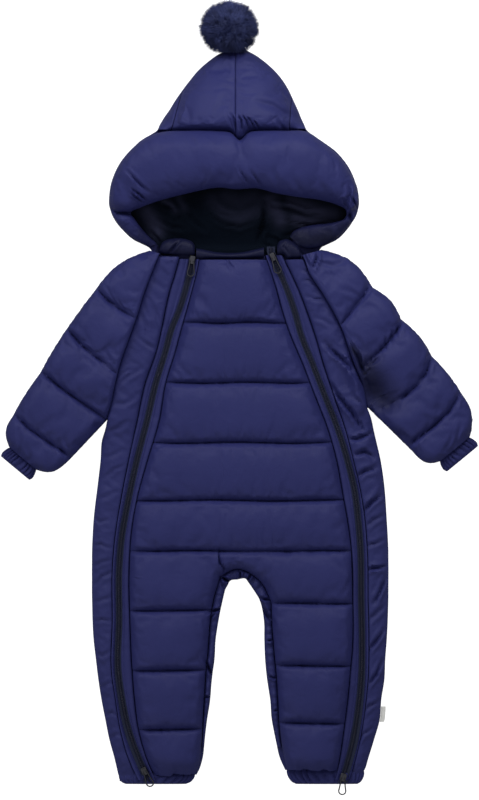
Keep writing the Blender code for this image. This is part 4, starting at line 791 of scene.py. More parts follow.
def front_panel(material):
    left = offset(smooth_curve(ZIP["left"], 3), GAP)
    right = offset(smooth_curve(ZIP["right"], 3), -GAP)
    inseam = [offset(edge, sign * GAP) for edge, sign in zip(both_edges(INSEAM), SIGN.values())]
    marks = [[pair[k] for pair in FRONT_QUILTS] for k in (0, 1)]
    torso = rows_between(marks[0][:TORSO_ROWS + 1], 27)
    legs = [rows_between([CROTCH_ARC[0][1]] + marks[0][TORSO_ROWS + 1:], 25)[1:],
            rows_between([CROTCH_ARC[-1][1] - 3] + marks[1][TORSO_ROWS + 2:], 25)]
    plan = forked_plan(torso, left, right, CROTCH_ARC, legs, list(zip((left, right), inseam)), 2.9)
    edges = [line_of(left, 182, -492, 90), line_of(right, 182, -492, 90),
             line_of(inseam[0], -227, -490, 40), line_of(inseam[1], -258, -490, 36),
             smooth_rows(CROTCH_ARC, 4)]
    top_edge = np.array([[-60.0, 182.0], [50.0, 182.0]])

    def top(points):
        x, y = points.T[:2]
        to_edge = nearest(points, edges)
        to_top = reach(points, top_edge)[0]
        to_quilt = nearest(points, QUILT_LINES)
        to_hem = from_hem(points)
        rise = 0.5 * bulge(to_edge + 0.4, 12.0) + 0.5 * puff(to_edge + 0.6, 34.0)
        to_row = np.minimum(to_quilt, np.minimum(to_top + 2, to_hem + 14))
        row = 0.64 * bulge(to_row, 8.0) + 0.36 * puff(to_row, 36.0)
        lift = 7.0 + rise * (5.6 + 13.5 * row)
        lift += 1.1 * puckers(points, to_quilt, 7.5, 8.0, 5) * rise
        lift += puckers(points[:, ::-1], to_edge, 8.5, 9.0, 8)
        lift += drift(x, y * 1.6, 52.0, 3) * rise * row
        lift -= 1.8 * hump(to_quilt, 1.5) * (1 - rise)
        lift += 2.4 * drift(x, 0 * y, 5.0, 9) * close(to_hem, 7.0)
        return parting(y) + GAP + (lift + folds(points)) * thinning(y)

    def low(points):
        return parting(points[:, 1]) + GAP

    points, faces = plan.solid(top, low)
    x = points[:, 0]
    points[:, 1] += 1.9 * drift(x, 0 * x, 8.0, 6) * close(from_hem(points), 4.0)
    piece = finish_piece("front_cloth", points, faces, material, ["front_panel"])
    stuff(piece, edges + QUILT_LINES + [top_edge], cap=2.6, slack=0.035)


def side_front(material, side):
    sign, column = SIGN[side], COLUMN[side]
    raglan, seam = smooth_curve(RAGLAN, column), smooth_curve(SIDE_SEAM, column)
    placket = offset(smooth_curve(ZIP[side], 1), sign * GAP)
    start, end = SIDE_FRONT_ENDS[side]

    def outer(y):
        return np.where(y > ARMPIT[side], raglan(y) + sign * 0.15, seam(y) - sign * GAP)

    plan = strip(np.append(np.arange(start, end, -2.4), end), outer, placket, 18)
    outer_line, inner_line = (line_of(edge, start + 3, end - 3, 120) for edge in (outer, placket))
    seed = 21 if side == "left" else 34

    def top(points):
        x, y = points.T[:2]
        to_outer, to_inner = reach(points, outer_line)[0], reach(points, inner_line)[0]
        t = clamp(to_outer / (to_outer + to_inner + 1e-6))
        free = clamp((ARMPIT[side] - y) / 24.0)
        round_off = (1 - np.abs(2 * t - 1) ** 2.6) ** 0.66
        raised = 13.5 + 3.5 * bulge(to_outer + 0.3, 5.0) - 3.0 * close(to_outer, 1.6)
        rolled = 1.5 + 11.3 * bulge(to_outer + 0.3, 34.0)
        lift = (raised - 1.5 * t) * (1 - free) + rolled * free
        lift -= (4.5 - 2.3 * free) * close(to_inner, 1.5)
        across = drift(x * 0.45, y + 0.35 * sign * x, 15.0, seed)
        across += 0.6 * drift(x * 0.6, y - 0.5 * sign * x, 8.5, seed + 1)
        lift += across * (0.35 + 0.65 * round_off) * (0.55 + 0.45 * t)
        lift += 0.6 * drift(x * 0.3, y, 5.5, seed + 2) * close(to_inner, 9.0)
        lift += 0.5 * drift(x * 0.3, y, 6.5, seed + 3) * close(to_outer, 7.0)
        lift *= 0.3 + 0.7 * bulge(np.abs(y - end) + 0.8, 7.0)
        return parting(y) + GAP + np.maximum((lift + folds(points)) * thinning(y), 1.0)

    def low(points):
        y = points[:, 1]
        return np.where(y > HEM_Y[side], parting(y) + GAP, 3.0)

    points, faces = plan.solid(top, low)
    piece = sew("side_front_" + side, points, faces, material)
    stuff(piece, [outer_line, inner_line], cap=2.4, slack=0.03, pressure=3.0)


def back_panel(material):
    raglan = [offset(edge, -sign * GAP) for edge, sign in zip(both_edges(RAGLAN), SIGN.values())]
    seam, inside = both_edges(SIDE_SEAM), both_edges(INSIDE_LEG)

    def outline(which):
        armpit = ARMPIT[SIDES[which]]
        return lambda y: np.where(y > armpit, raglan[which](y), seam[which](y))

    torso = np.arange(BACK_NECK_Y, -200, -5.0)
    legs = [np.append(np.arange(CROTCH_BACK[which][1] - 5, HEM_Y[side] + 2, -5.0), HEM_Y[side])
            for which, side in ((0, "left"), (-1, "right"))]
    plan = forked_plan(torso, outline(0), outline(1), CROTCH_BACK, legs,
                       list(zip(seam, inside)), 5.0)
    free = [line_of(seam[0], -24, -486, 90), line_of(seam[1], -7, -486, 90),
            line_of(inside[0], -250, -488, 50), line_of(inside[1], -252, -488, 50),
            smooth_rows(CROTCH_BACK, 3)]
    marks = [np.array([[-200.0, y], [200.0, y + 1.5]]) for y in BACK_QUILTS]

    def top(points):
        return parting(points[:, 1])

    def low(points):
        x, y = points.T[:2]
        to_quilt = nearest(points, marks)
        away = nearest(points, free)
        notch = 3.0 * close(to_quilt, 4.0) + 0.8 * drift(x, y, 9.0, 77)
        roll = 8.5 * (1 - bulge(np.maximum(away - notch, 0), 16.0))
        groove = 2.6 * close(to_quilt, 3.2)
        groove += 0.5 * np.abs(puckers(points, to_quilt, 8.0, 9.0, 71))
        crotch = 8.0 * hump(reach(points, CROTCH_BACK)[0], 6.0)
        return np.maximum(np.maximum(roll, groove), crotch) * parting(y) / BACK_THICK

    points, faces = plan.solid(top, low)
    finish_piece("back_cloth", points, faces, material, ["back_panel"])


def crotch_strip(material):
    """Narrow gathered strip round the crotch and down both inside legs."""
    inseam, inside = both_edges(INSEAM), both_edges(INSIDE_LEG)
    end = -446.0
    path = [(inseam[0](y), y, inside[0](y), y) for y in np.linspace(end, -272, 10)]
    path += [(inseam[0](-250), -250, -19.5, -251)]
    path += [(x, y, *under) for (x, y), under in zip(smooth_rows(CROTCH_ARC, 2), CROTCH_UNDER)]
    path += [(inseam[1](-258), -258, 26.4, -257)]
    path += [(inseam[1](y), y, inside[1](y), y) for y in np.linspace(-272, end, 10)]
    path = smooth_rows(path, 12)
    walked = walk(path[:, :2])
    wave = drift(walked, walked * 0, 6.0, 41) + 0.7 * drift(walked, walked * 0 + 30, 3.4, 42)
    rings = []
    for k, (xs, ys, xe, ye) in enumerate(path):
        direction = np.array([xe - xs, ye - ys])
        width = np.linalg.norm(direction)
        direction /= width
        start = np.array([xs, ys]) + direction * GAP * 1.6
        base = parting(ys) + GAP
        full = min(1.0, 0.35 + 0.03 * min(k, len(path) - 1 - k))
        ring = []
        shares = np.linspace(0, 1, 11)
        flat = start + direction * (width - GAP * 1.6) * shares[:, None]
        for share, (x, y), crease in zip(shares, flat, folds(flat)):
            crown = math.sin(math.pi * min(max(share * 0.92 + 0.04, 0), 1)) ** 0.55
            pucker = 6.4 + 2.6 * wave[k] * (1 - 0.4 * share) + 2.2 * crease
            ring.append((x, y, base + max(5.0 - 2.0 * share + pucker * crown, 0.8) * full))
        x, y = start + direction * (width - GAP * 1.6)
        ring += [(x, y, base), (start[0], start[1], base)]
        rings.append(ring)
    points, faces = loft(rings)
    sew("crotch_strip", points, faces, material)


# ---- sleeves, cuffs and hems ----------------------------------------------------------------
def sleeve(material, side):
    """Folded quilted tube, hollow from the cuff up to the body."""
    sign = SIGN[side]
    table = np.array(SLEEVE[side], float)
    raglan = smooth_curve(RAGLAN, COLUMN[side])
    stations = []
    for row in range(len(table) - 1):
        one, two = table[row], table[row + 1]
        run = two[:2] - one[:2]
        normal = np.array([run[1], -run[0]]) / np.linalg.norm(run)
        if normal[0] * sign < 0:
            normal = -normal
        count = max(8, int(np.linalg.norm((one + two)[:2] / 2 - one[:2]) * 2 / 2.5))
        for u in dense(0, 1, count)[:-1]:
            mixed = one + (two - one) * u
            mixed[:2] += normal * SLEEVE_BOW[side][row] * math.sin(math.pi * u)
            if row == SLEEVE_OPEN_ROWS + 1:
                mixed[3] -= UNDER_ARM_BOW * math.sin(math.pi * u)
            if row + u <= SLEEVE_OPEN_ROWS:
                mixed[2] = raglan(mixed[3]) - sign * 0.4
            stations.append((row + u, mixed))
    stations.append((len(table) - 1.0, table[-1]))
    seams = [plan_to_mm(line) for line in SLEEVE_SEAMS[side]]
    seed = 51 if side == "left" else 63
    columns = dense(0, 1, 44)
    under = dense(0, 1, 20)[::-1]
    rings, hollow = [], []
    for place, values in stations:
        outer, inner, mid = values[:2], values[2:4], values[4]
        across = inner - outer
        across = across / np.linalg.norm(across)
        open_here = clamp((SLEEVE_OPEN_ROWS - place) / 0.6)
        width = np.linalg.norm(inner - outer)
        flat = outer + columns[:, None] * (across * width)
        to_seam = nearest(flat, seams)
        to_seam = np.minimum(to_seam, 14.0 + 60 * abs(place)) if place < 0.3 else to_seam
        row = 0.62 * bulge(to_seam, 7.5) + 0.38 * puff(to_seam, 32.0)
        end = clamp((len(table) - 1 - place) / 0.45)
        thin = 0.72 + 0.28 * math.sin(end * math.pi / 2)
        from_outer, from_inner = columns * width, (1 - columns) * width
        edge = 3.0 + 16.0 * columns ** 2 * open_here
        near_body = 0.72 * bulge(from_inner + 0.3, 6.0) + 0.28 * puff(from_inner, 30.0)
        near_body = near_body * open_here + bulge(from_inner, 17.0) * (1 - open_here)
        over = np.minimum(bulge(from_outer, 20.0), near_body)
        lift_here = np.interp(place, range(len(table)), table[:, 5]) * 0.76
        swell = (8.6 + lift_here * row) * (1 - 0.42 * columns ** 2 * open_here)
        swell += 1.2 * puckers(flat @ np.array([[0.8, 0.6 * sign], [-0.6 * sign, 0.8]]), to_seam,
                               7.0, 8.0, seed)
        swell += drift(*flat.T, 26.0, seed + 2)
        if place > len(table) - 2:
            gather = close((len(table) - 1 - place) * 40, 11.0)
            swell += 2.6 * gather * drift(columns * 95, columns * 0, 6.5, seed + 4)
        top = mid + 0.6 + (edge + swell * over) * thin + folds(flat) * np.maximum(over, 0.5)
        if side == "right":
            hollow_here = np.linalg.norm(flat - ARMPIT_HOLLOW, axis=1) / 27.0
            top -= (top - mid - 1.5) * 0.82 * np.exp(-hollow_here ** 2.4)
        ring = [(*spot, z) for spot, z in zip(flat, top)]
        for t in under:
            x, y = outer + across * width * t
            roll_a = 1 - bulge(t * width, 13.0)
            roll_b = (1 - open_here) * (1 - bulge((1 - t) * width, 13.0))
            edge_z = (mid - 4.5) * max(roll_a, roll_b)
            low_seam = np.interp(t, columns, close(to_seam, 3.5)) * 2.0 if 0.1 < t < 0.9 else edge_z
            ring.append((x, y, max(edge_z, low_seam)))
        rings.append(ring)
        wall = min(9.0, width * 0.3)
        place_a, place_b = outer + across * wall, inner - across * wall
        hollow.append([(*(place_a + (place_b - place_a) * t), mid + over_mid)
                       for over_mid, shares in ((0.6, columns), (-0.6, under)) for t in shares])
    deep = len(rings) // 6
    points, faces = loft(rings + hollow[deep:][::-6])
    # painted shade: the sleeve's top darkens in colour in the armpit hollow and along the lower
    # raglan seam
    share = patches(points[:, :2], ARMPIT_PAINTED_SHADE) * clamp((points[:, 2] - 13.0) / 2.0)
    piece = sew("sleeve_" + side, points, faces, material, facing=share)
    ends = [table[0].reshape(3, 2)[:2], table[-1].reshape(3, 2)[:2]]
    body = line_of(raglan, 192, ARMPIT[side], 40)
    stuff(piece, seams + ends + [body], cap=3.6, slack=0.05)


def oval(count, flatness, squareness):
    """Steps across and up round a squared oval."""
    angle = 2 * math.pi * np.arange(count) / count
    c, s = np.cos(angle), np.sin(angle)
    return np.sign(c) * np.abs(c) ** flatness, np.sign(s) * np.abs(s) ** squareness


def gathered_tube(node, material, stations, waves, depth, wall, seed):
    """Short gathered tube, open at both ends, with an inner wall.

    stations: centre x, centre y, middle height, half width vector x, y, half height.
    """
    rows = smooth_rows(stations, 7)
    count = 224
    along, up = oval(count, 0.8, 0.7)
    made = np.random.default_rng(seed)
    pace = np.cumsum(made.uniform(0.7, 1.3, waves))
    pace = np.concatenate([[0], pace / pace[-1]]) * count
    phase = np.interp(np.arange(count), pace, np.arange(waves + 1))
    size = np.interp(np.arange(count), pace, np.append(made.uniform(0.5, 1.3, waves), 1.0))
    outer, inner = [], []
    for number, (cx, cy, cz, wx, wy, high) in enumerate(rows):
        half = np.array([wx, wy])
        width = np.linalg.norm(half)
        u = number / (len(rows) - 1)
        lean = 0.15 * math.sin(u * 5.0)
        wave = np.abs(np.sin(math.pi * (phase + lean))) ** 0.8 * size * depth
        wave *= 0.55 + 0.45 * math.sin(math.pi * u)
        reach_x = along * (1 + wave / width)
        flat = np.array([cx, cy]) + half * reach_x[:, None]
        z = np.maximum(cz + up * (high + wave), 0.3)
        outer.append(np.column_stack([flat, z]))
        shrink = (width - wall) / width
        flat = np.array([cx, cy]) + half * (along * shrink)[:, None]
        inner.append(np.column_stack([flat, cz + up * np.maximum(high - wall, 1.2)]))
    points, faces = loft(np.array(outer + inner[::-1]), caps=False)
    sew(node, points, faces, material)


def cuff(material, side):
    table = np.array(SLEEVE[side], float)
    outer, inner = table[-1][:2], table[-1][2:4]
    centre, half = (outer + inner) / 2, (inner - outer) / 2
    along = np.array([half[1], -half[0]]) / np.linalg.norm(half)
    if along[1] > 0:
        along = -along
    stations = []
    for distance, share, high in CUFF_ROWS:
        cx, cy = centre + along * distance
        wx, wy = half * share
        stations.append((cx, cy, CUFF_PARTING - 1.5, wx, wy, high))
    gathered_tube("cuff_" + side, material, stations, waves=25, depth=3.2, wall=2.2,
                  seed=81 if side == "left" else 87)


def hem(material, side):
    seam, inside = smooth_curve(SIDE_SEAM, COLUMN[side]), smooth_curve(INSIDE_LEG, COLUMN[side])
    top, sign = HEM_Y[side], SIGN[side]
    stations = []
    for share, side_in, leg_in, high in HEM_ROWS:
        y = top + HEM_OVERLAP + (HEM_END - top - HEM_OVERLAP) * share
        x0, x1 = seam(top) - sign * side_in, inside(top) + sign * leg_in
        stations.append(((x0 + x1) / 2, y, HEM_MID, (x1 - x0) / 2, 0.0, high))
    gathered_tube("hem_" + side, material, stations, waves=29, depth=3.4, wall=2.0,
                  seed=91 if side == "left" else 97)


# ---- hood -----------------------------------------------------------------------------------
def crown_share(x, y):
    """0 on the centre seam, 1 at the outer edge of the crown."""
    left, right = both_edges(CROWN)
    edge = np.where(x < CENTRE_SEAM_X, left(y), right(y))
    return clamp(np.abs(x - CENTRE_SEAM_X) / np.abs(edge - CENTRE_SEAM_X))


BROW_LINE = np.array([[-106.0, 346.5], [-16.0, 346.5], [1.0, 336.0], [18.0, 346.5], [88.0, 346.5]])


def gusset_line(side):
    point_y, point_x, foot_x = GUSSET[side]
    return lambda y: point_x + (foot_x - point_x) * (point_y - y) / (point_y - BROW_Y)


def notch(x):
    """How far the crown's lower edge dips into the brim near the middle."""
    return 11.0 * hump(x - 1.0, 8.0)


def crown_seams():
    lines = [np.array([[CENTRE_SEAM_X, 446.0], [CENTRE_SEAM_X, 346.0]])]
    for side in SIDES:
        edge = gusset_line(side)
        ys = np.array([GUSSET[side][0], 372.0, 346.0])
        lines.append(np.column_stack([edge(ys), ys]))
    return lines


def crown_top(points):
    x, y = points.T[:2]
    to_seam = nearest(points, CROWN_SEAMS)
    height = CROWN_EDGE + 1.5
    height += (smooth_curve(CROWN, 3)(y) - CROWN_EDGE) * (1.0 - crown_share(x, y) ** 2.7) ** 0.62
    height += np.maximum(50.0 - height, 0) * clamp((361.0 - y) / 14.0) ** 2
    height -= 1.9 * close(to_seam, 1.5) + 0.7 * close(to_seam, 6.0)
    height += 0.9 * puckers(points[:, ::-1], to_seam, 6.0, 7.0, 15)
    height += 1.2 * drift(x, y, 30.0, 16) + folds(points)
    brow = clamp((351.0 - y) / 4.0)
    return np.maximum(height - 2.6 * brow ** 2, HOOD_BACK_THICK + 1.6)


def crown_low(points):
    """Underside of the crown: a padded wall, full height at its outer edge."""
    share = crown_share(points[:, 0], points[:, 1])
    wall = CROWN_WALL + 40.0 * clamp((share - 0.84) / 0.1)
    return np.maximum(crown_top(points) - wall, HOOD_BACK_THICK + GAP)


def under_brim(points):
    """Moves the underside's front edge in under the brim."""
    deep = points[len(points) // 2:]
    deep[:, 1] -= 6.0 * clamp((353.0 - deep[:, 1]) / 6.0)


CROWN_SEAMS = crown_seams()


def hood_crown(material):
    outline = dict(zip(SIDES, both_edges(CROWN)))
    for side in SIDES:
        sign = SIGN[side]
        point, edge = GUSSET[side][0], gusset_line(side)

        def outer(y):
            return np.where(y >= point, outline[side](y), edge(y) - sign * GAP)

        def centre(y):
            return CENTRE_SEAM_X + sign * GAP / 2 + 0 * y

        ys = np.concatenate([np.arange(449.0, 362.0, -2.0), np.arange(362.0, BROW_Y - 0.1, -0.94)])
        points, faces = strip(ys, outer, centre, 54).solid(crown_top, crown_low)
        under_brim(points)
        points[:, 1] -= notch(points[:, 0]) * clamp((358.0 - points[:, 1]) / 11.0)
        piece = sew("hood_crown_" + side, points, faces, material)
        rim = line_of(outline[side], 444, BROW_Y, 30)
        stuff(piece, CROWN_SEAMS + [rim, BROW_LINE], cap=2.6, slack=0.03)
        gusset = strip(np.arange(point - 4.0, BROW_Y - 0.1, -2.0), outline[side],
                       offset(edge, sign * GAP * 1.5), 12)
        points, faces = gusset.solid(crown_top, crown_low)
        under_brim(points)
        sew("hood_side_" + side, points, faces, material)


def hood_back(material):
    left, right = both_edges(HOOD_BACK)
    plan = strip(np.append(np.arange(449.0, 186.0, -4.0), 185.0), left, right, 60)
    outline = [line_of(edge, 450, 180, 70) for edge in (left, right)]

    def top(points):
        return np.full(len(points), HOOD_BACK_THICK)

    def low(points):
        away = nearest(points, outline)
        x, y = points.T
        roll = 7.0 * (1 - bulge(np.maximum(away - 0.8 * drift(x, y, 9.0, 7), 0), 14.0))
        return np.maximum(roll, 2.0 * close(np.abs(x - CENTRE_SEAM_X), 3.0))

    points, faces = plan.solid(top, low)
    sew("hood_back", points, faces, material)


def hood_brim(material):
    """Padded roll round the face opening."""
    rows = smooth_rows(BRIM, 11)
    along, up = oval(60, 0.88, 0.82)
    along = -along
    level = clamp(np.sin(2 * math.pi * np.arange(60) / 60)) ** 0.5
    rings = []
    for ox, oy, ix, iy, mid, above, below in rows:
        centre = np.array([(ox + ix) / 2, (oy + iy) / 2])
        half = np.array([ix - ox, iy - oy]) / 2
        flat = centre + half * along[:, None]
        flat[:, 1] -= notch(flat[:, 0]) * clamp(-along) ** 2
        x, y = flat.T
        uneven = 1.3 * drift(x, y, 34.0, 11) + 0.7 * drift(x, y, 15.0, 12)
        rim = close((1 - np.abs(along)) * np.linalg.norm(half), 7.0)
        uneven += 0.9 * drift(x, y, 6.5, 13) * rim
        z = mid + np.where(up > 0, above, below) * up + (uneven + folds(flat)) * level
        rings.append(np.column_stack([flat, z]))
    points, faces = loft(np.array(rings))
    # painted shade: the brim's lower ends darken in colour in patches
    piece = sew("hood_brim", points, faces, material,
                facing=patches(points[:, :2], CHEEK_PAINTED_SHADE))
    stuff(piece, [rows[:, :2], rows[:, 2:4]], cap=3.0, slack=0.03)


def hood_lining(material):
    left, right, lift = (smooth_curve(LINING, k) for k in (1, 2, 3))
    plan = strip(np.append(np.arange(300.0, 187.0, -2.3), 186.5), left, right, 90)

    def floor(y):
        climb = clamp((198.5 - y) / 3.5)
        return HOOD_BACK_THICK + GAP + (BACK_THICK - HOOD_BACK_THICK) * climb

    def top(points):
        x, y = points.T[:2]
        base = floor(y)
        share = clamp((x - left(y)) / (right(y) - left(y)))
        height = base + 1.5 + lift(y) * np.sin(math.pi * share) ** 0.8
        for depth, width, line in LINING_LINES:
            away, place = reach(points, line)
            lips = 1.2 * hump(away - 2.4 * width, 1.3 * width)
            height += depth * fading(place) * (lips - 1.4 * hump(away, width))
        height += 0.8 * drift(x, y, 19.0, 19) * clamp(lift(y) / 6)
        return np.maximum(height, base + 1.2)

    def low(points):
        return np.maximum(top(points) - 1.2, floor(points[:, 1]))

    points, faces = plan.solid(top, low)
    # painted light: the lining turns paler in patches where its panels face the light
    sew("hood_lining", points, faces, material, slot="dark_lining",
        facing=patches(points[:, :2], LINING_PAINTED_LIGHT_PATCHES))


def collar(material, key, seed):
    """One length of the neck band, a small padded roll."""
    base = BACK_THICK + GAP
    rows = smooth_rows(COLLAR[key], 8)
    u = np.linspace(0, 1, 15)
    profile = 0.62 + 0.38 * (1 - np.abs(2 * u - 1) ** 2.4) ** 0.8
    rings = []
    for x, low, high, top in rows:
        rise = top - base
        flat = np.column_stack([np.full(15, x), low + (high - low) * u])
        lift = (rise + drift(x, 0.0, 7.5, seed) * 1.2 * 0.8) * profile
        z = np.maximum(base + lift + folds(flat) * (1 - u ** 4), base + 2.0)
        rings.append([*((*spot, h) for spot, h in zip(flat, z)), (x, high, base), (x, low, base)])
    points, faces = loft(rings)
    # painted shade: the whole neck band darkens in colour, standing for the hood brim's shadow
    sew("collar_" + key, points, faces, material, facing=np.full(len(points), COLLAR_PAINTED_SHADE))


# ---- zips -----------------------------------------------------------------------------------
def turn(y):
    """How far the tape turns its face up, towards the hem."""
    return clamp((HEM_TAPER_TOP - y) / 110.0)


def placket(material, side, place):
    outer, coil, inner = (smooth_curve(ZIP[side], k) for k in (1, 2, 3))
    edge = outer if place == "outer" else inner
    away = -1 if (side == "left") == (place == "outer") else 1
    ys = np.arange(PLACKET_TOP[side], -489.0, -2.3)
    over_hem = tape_floor(HEM_Y["left"]) - 0.4
    seed = 101 + len(side) * 3 + len(place)
    rings = []
    for y in ys:
        near = coil(y) + away * (TAPE_HALF + 2.4 * turn(y) * (place == "outer"))
        far = edge(y) - away * GAP
        climb = clamp((HEM_Y["right"] + 34.0 - y) / 24.0)
        base = parting(y) + GAP
        base += (over_hem - base) * climb
        shelf = tape_floor(y) + TAPE_THICK + 0.5
        top = tape_floor(y) + 3.4
        wave = 0.55 * drift(y, 3.0, 6.5, seed) + 0.45 * drift(y, 9.0, 13.0, seed + 1)
        ring = [(near, y, max(base, shelf - 0.4))]
        for t, h in PLACKET_PROFILE:
            z = top - 3.2 + h + wave * (0.4 + t) * (1.2 - t)
            ring.append((near + (far - near) * t, y, max(z, base + 0.4)))
        ring.append((far, y, base))
        ring.append((near + away * 2.2, y, base))
        ring.append((near + away * 1.7, y, max(base, shelf - 0.4)))
        rings.append(ring)
    points, faces = loft(rings)
    sew("placket_%s_%s" % (side, place), points, faces, material)


def zip_tape(material, side):
    coil = smooth_curve(ZIP[side], 2)
    rings = []
    for y in np.append(np.arange(ZIP_TOP[side], ZIP_END, -3.0), ZIP_END):
        x, base = coil(y), tape_floor(y)
        halves = [TAPE_HALF + 1.0, TAPE_HALF + 1.0]
        halves[side == "right"] += 2.4 * turn(y)
        low, high = x - halves[0], x + halves[1]
        rings.append([(low, y, base), (low, y, base + 1.1), (x - 0.3, y, base + 1.1),
                      (x, y, base + 0.8), (x + 0.3, y, base + 1.1), (high, y, base + 1.1),
                      (high, y, base)])
    points, faces = loft(rings)
    sew("zip_tape_" + side, points, faces, material, slot="zip_tape")


def zip_coil(material, side):
    """Closed coil: teeth from both sides in turn."""
    coil = smooth_curve(ZIP[side], 2)
    points, faces = [], []
    for number, y in enumerate(np.arange(ZIP_TOP[side] - 2, ZIP_END + 1, -TOOTH_PITCH)):
        x, base = coil(y), tape_floor(y) + 1.1
        hand = 1 if number % 2 else -1
        first = len(points)
        for u, z in TOOTH:
            for dy, dz in ((-TOOTH_HALF, 0.0), (0.0, 0.45), (TOOTH_HALF, 0.0), (0.0, -0.45)):
                points.append((x + hand * u, y + dy + 0.12 * hand, base + z + dz))
        faces += tube_faces(first, 4, 4)
    finish_piece("zip_coil_" + side, points, faces, material, slot="zip_tape", sharp=80.0)


# ---- pompom, stitches and label -------------------------------------------------------------
def pompom(skin, fur):
    """Ball of fine hair in locks, over a round core."""
    centre = np.array(POMPOM_AT)
    core_radius, fluff_radius, locks, hairs = 25.0, 37.6, 560, 9000
    lowest, seat_y = 0.7, 445.5
    shape = bmesh.new()
    bmesh.ops.create_icosphere(shape, subdivisions=4, radius=core_radius)
    points = np.array([v.co for v in shape.verts]) + centre
    faces = [tuple(v.index for v in f.verts) for f in shape.faces]
    shape.free()
    finish_piece("pompom_core", points, faces, skin, ["pompom"], slot="faux_fur")
    made = np.random.default_rng(7)
    number = np.arange(locks) + 0.5
    polar = np.arccos(1 - 2 * number / locks)
    turn = math.pi * (1 + 5 ** 0.5) * number
    heads = np.column_stack([np.cos(turn) * np.sin(polar), np.sin(turn) * np.sin(polar),
                             np.cos(polar)])
    sway, tilt = made.normal(0, 0.11, heads.shape), made.normal(0, 0.36, heads.shape)
    stretch = np.array([1.03, 0.955, 1.0])
    points, faces = [], []
    owners = made.integers(locks, size=hairs)
    for lock in owners:
        head = heads[lock]
        root = head + made.normal(0, 0.085, 3)
        root /= np.linalg.norm(root)
        tip = head * 0.62 + root * 0.38 + sway[lock] + made.normal(0, 0.07, 3)
        tip /= np.linalg.norm(tip)
        long = fluff_radius + 1.5 * math.sin(lock * 2.3) + made.normal(0, 1.1)
        bend = made.normal(0, 0.9, 3)
        spine = []
        for u in (0.0, 0.4, 0.75, 1.0):
            unit = root * (1 - u) + tip * u
            unit /= np.linalg.norm(unit)
            spot = centre + stretch * unit * (core_radius - 1 + (long - core_radius + 1) * u)
            spot = spot + bend * u * (1 - u) * 4
            spot[2] = max(spot[2], lowest)
            if unit[1] < -0.55:
                spot[1] = max(spot[1], seat_y)
            spine.append(spot)
        across = np.cross(root, made.normal(0, 1, 3))
        across /= np.linalg.norm(across)
        second = np.cross(root, across)
        first = len(points)
        for spot, wide in zip(spine[:3], (0.34, 0.30, 0.20)):
            for k in range(3):
                angle = 2 * math.pi * k / 3
                points.append(spot + (across * math.cos(angle) + second * math.sin(angle)) * wide)
        points.append(spine[3])
        faces += tube_faces(first, 2, 3, tip=True)
    piece = finish_piece("pompom_fur", points, faces, fur, slot="faux_fur", sharp=180.0)
    outward = np.array(points) - centre
    outward = outward / np.linalg.norm(outward, axis=1)[:, None]
    outward = outward + made.normal(0, 0.2, outward.shape)
    outward += np.repeat(tilt[owners], 10, axis=0)
    outward /= np.linalg.norm(outward, axis=1)[:, None]
    piece.data.normals_split_custom_set_from_vertices(outward.tolist())


def surface_of(names):
    """Search tree over the tops of pieces, to lay stitches on them."""
    points, faces = [], []
    for name in names:
        mesh = PIECES[name].data
        first = len(points)
        points += [v.co.copy() for v in mesh.vertices]
        faces += [tuple(first + k for k in f.vertices) for f in mesh.polygons]
    return BVHTree.FromPolygons(points, faces)


def stitches(name, lines, on, material, long=2.7, gap=1.3, thick=0.42, sink=0.12):
    """Thread lying on the cloth along lines, all in mm."""
    tree = surface_of(on)
    points, faces = [], []
    for line in lines:
        line = np.asarray(line, float)
        walked = walk(line)
        place = 1.5
        while place + long < walked[-1]:
            spots = []
            for at in (place, place + long / 2, place + long):
                x, y = (np.interp(at, walked, line[:, k]) for k in (0, 1))
                hit = tree.ray_cast(Vector((x * MM, y * MM, 0.2)), Vector((0, 0, -1)))[0]
                spots.append(None if hit is None else np.array([x, y, hit.z / MM]))
            place += long + gap
            if any(spot is None for spot in spots):
                continue
            if max(spot[2] for spot in spots) - min(spot[2] for spot in spots) > 2.5:
                continue
            spots[0][2] -= thick * 0.8
            spots[2][2] -= thick * 0.8
            spots[1][2] += thick * (0.5 - sink)
            run = spots[2][:2] - spots[0][:2]
            run /= np.linalg.norm(run)
            side = np.array([-run[1], run[0], 0.0])
            first = len(points)
            for spot, wide in zip(spots, (0.5, 1.0, 0.5)):
                for k in range(5):
                    angle = 2 * math.pi * k / 5
                    points.append(spot + (side * math.cos(angle)
                                          + np.array([0, 0, math.sin(angle)])) * thick * wide)
            faces += tube_faces(first, 2, 5)
    finish_piece(name, points, faces, material, sharp=80.0)


def side_label(material):
    """Small blank ribbon, folded into the side seam."""
    seam = smooth_curve(SIDE_SEAM, 2)
    rings = []
    for y in np.linspace(-394.0, -414.0, 9):
        x = seam(y) + GAP
        mid = parting(y) + 0.2
        top, low = [], []
        for u in np.linspace(0, 1, 6):
            sag = -1.6 * u * u + 0.3 * math.sin(y * 0.6) * u
            top.append((x + 6.0 * u, y, mid + 0.45 + sag))
            low.append((x + 6.0 * u, y, mid - 0.05 + sag))
        rings.append(top + low[::-1])
    points, faces = loft(rings)
    finish_piece("side_label_ribbon", points, faces, material, ["side_label"],
                 slot="white_ribbon", sharp=30.0)


# ---- materials ------------------------------------------------------------------------------
def group(name, inputs, output, kind):
    """An empty node group with its in and out nodes; inputs: names and usual values."""
    made = bpy.data.node_groups.new(name, "ShaderNodeTree")
    for label, value in inputs:
        colour = value is None
        socket = made.interface.new_socket(
            name=label, in_out="INPUT",
            socket_type="NodeSocketColor" if colour else "NodeSocketFloat")
        if not colour:
            socket.default_value = value
    made.interface.new_socket(name=output, in_out="OUTPUT", socket_type=kind)
    return made, made.nodes.new("NodeGroupInput"), made.nodes.new("NodeGroupOutput")


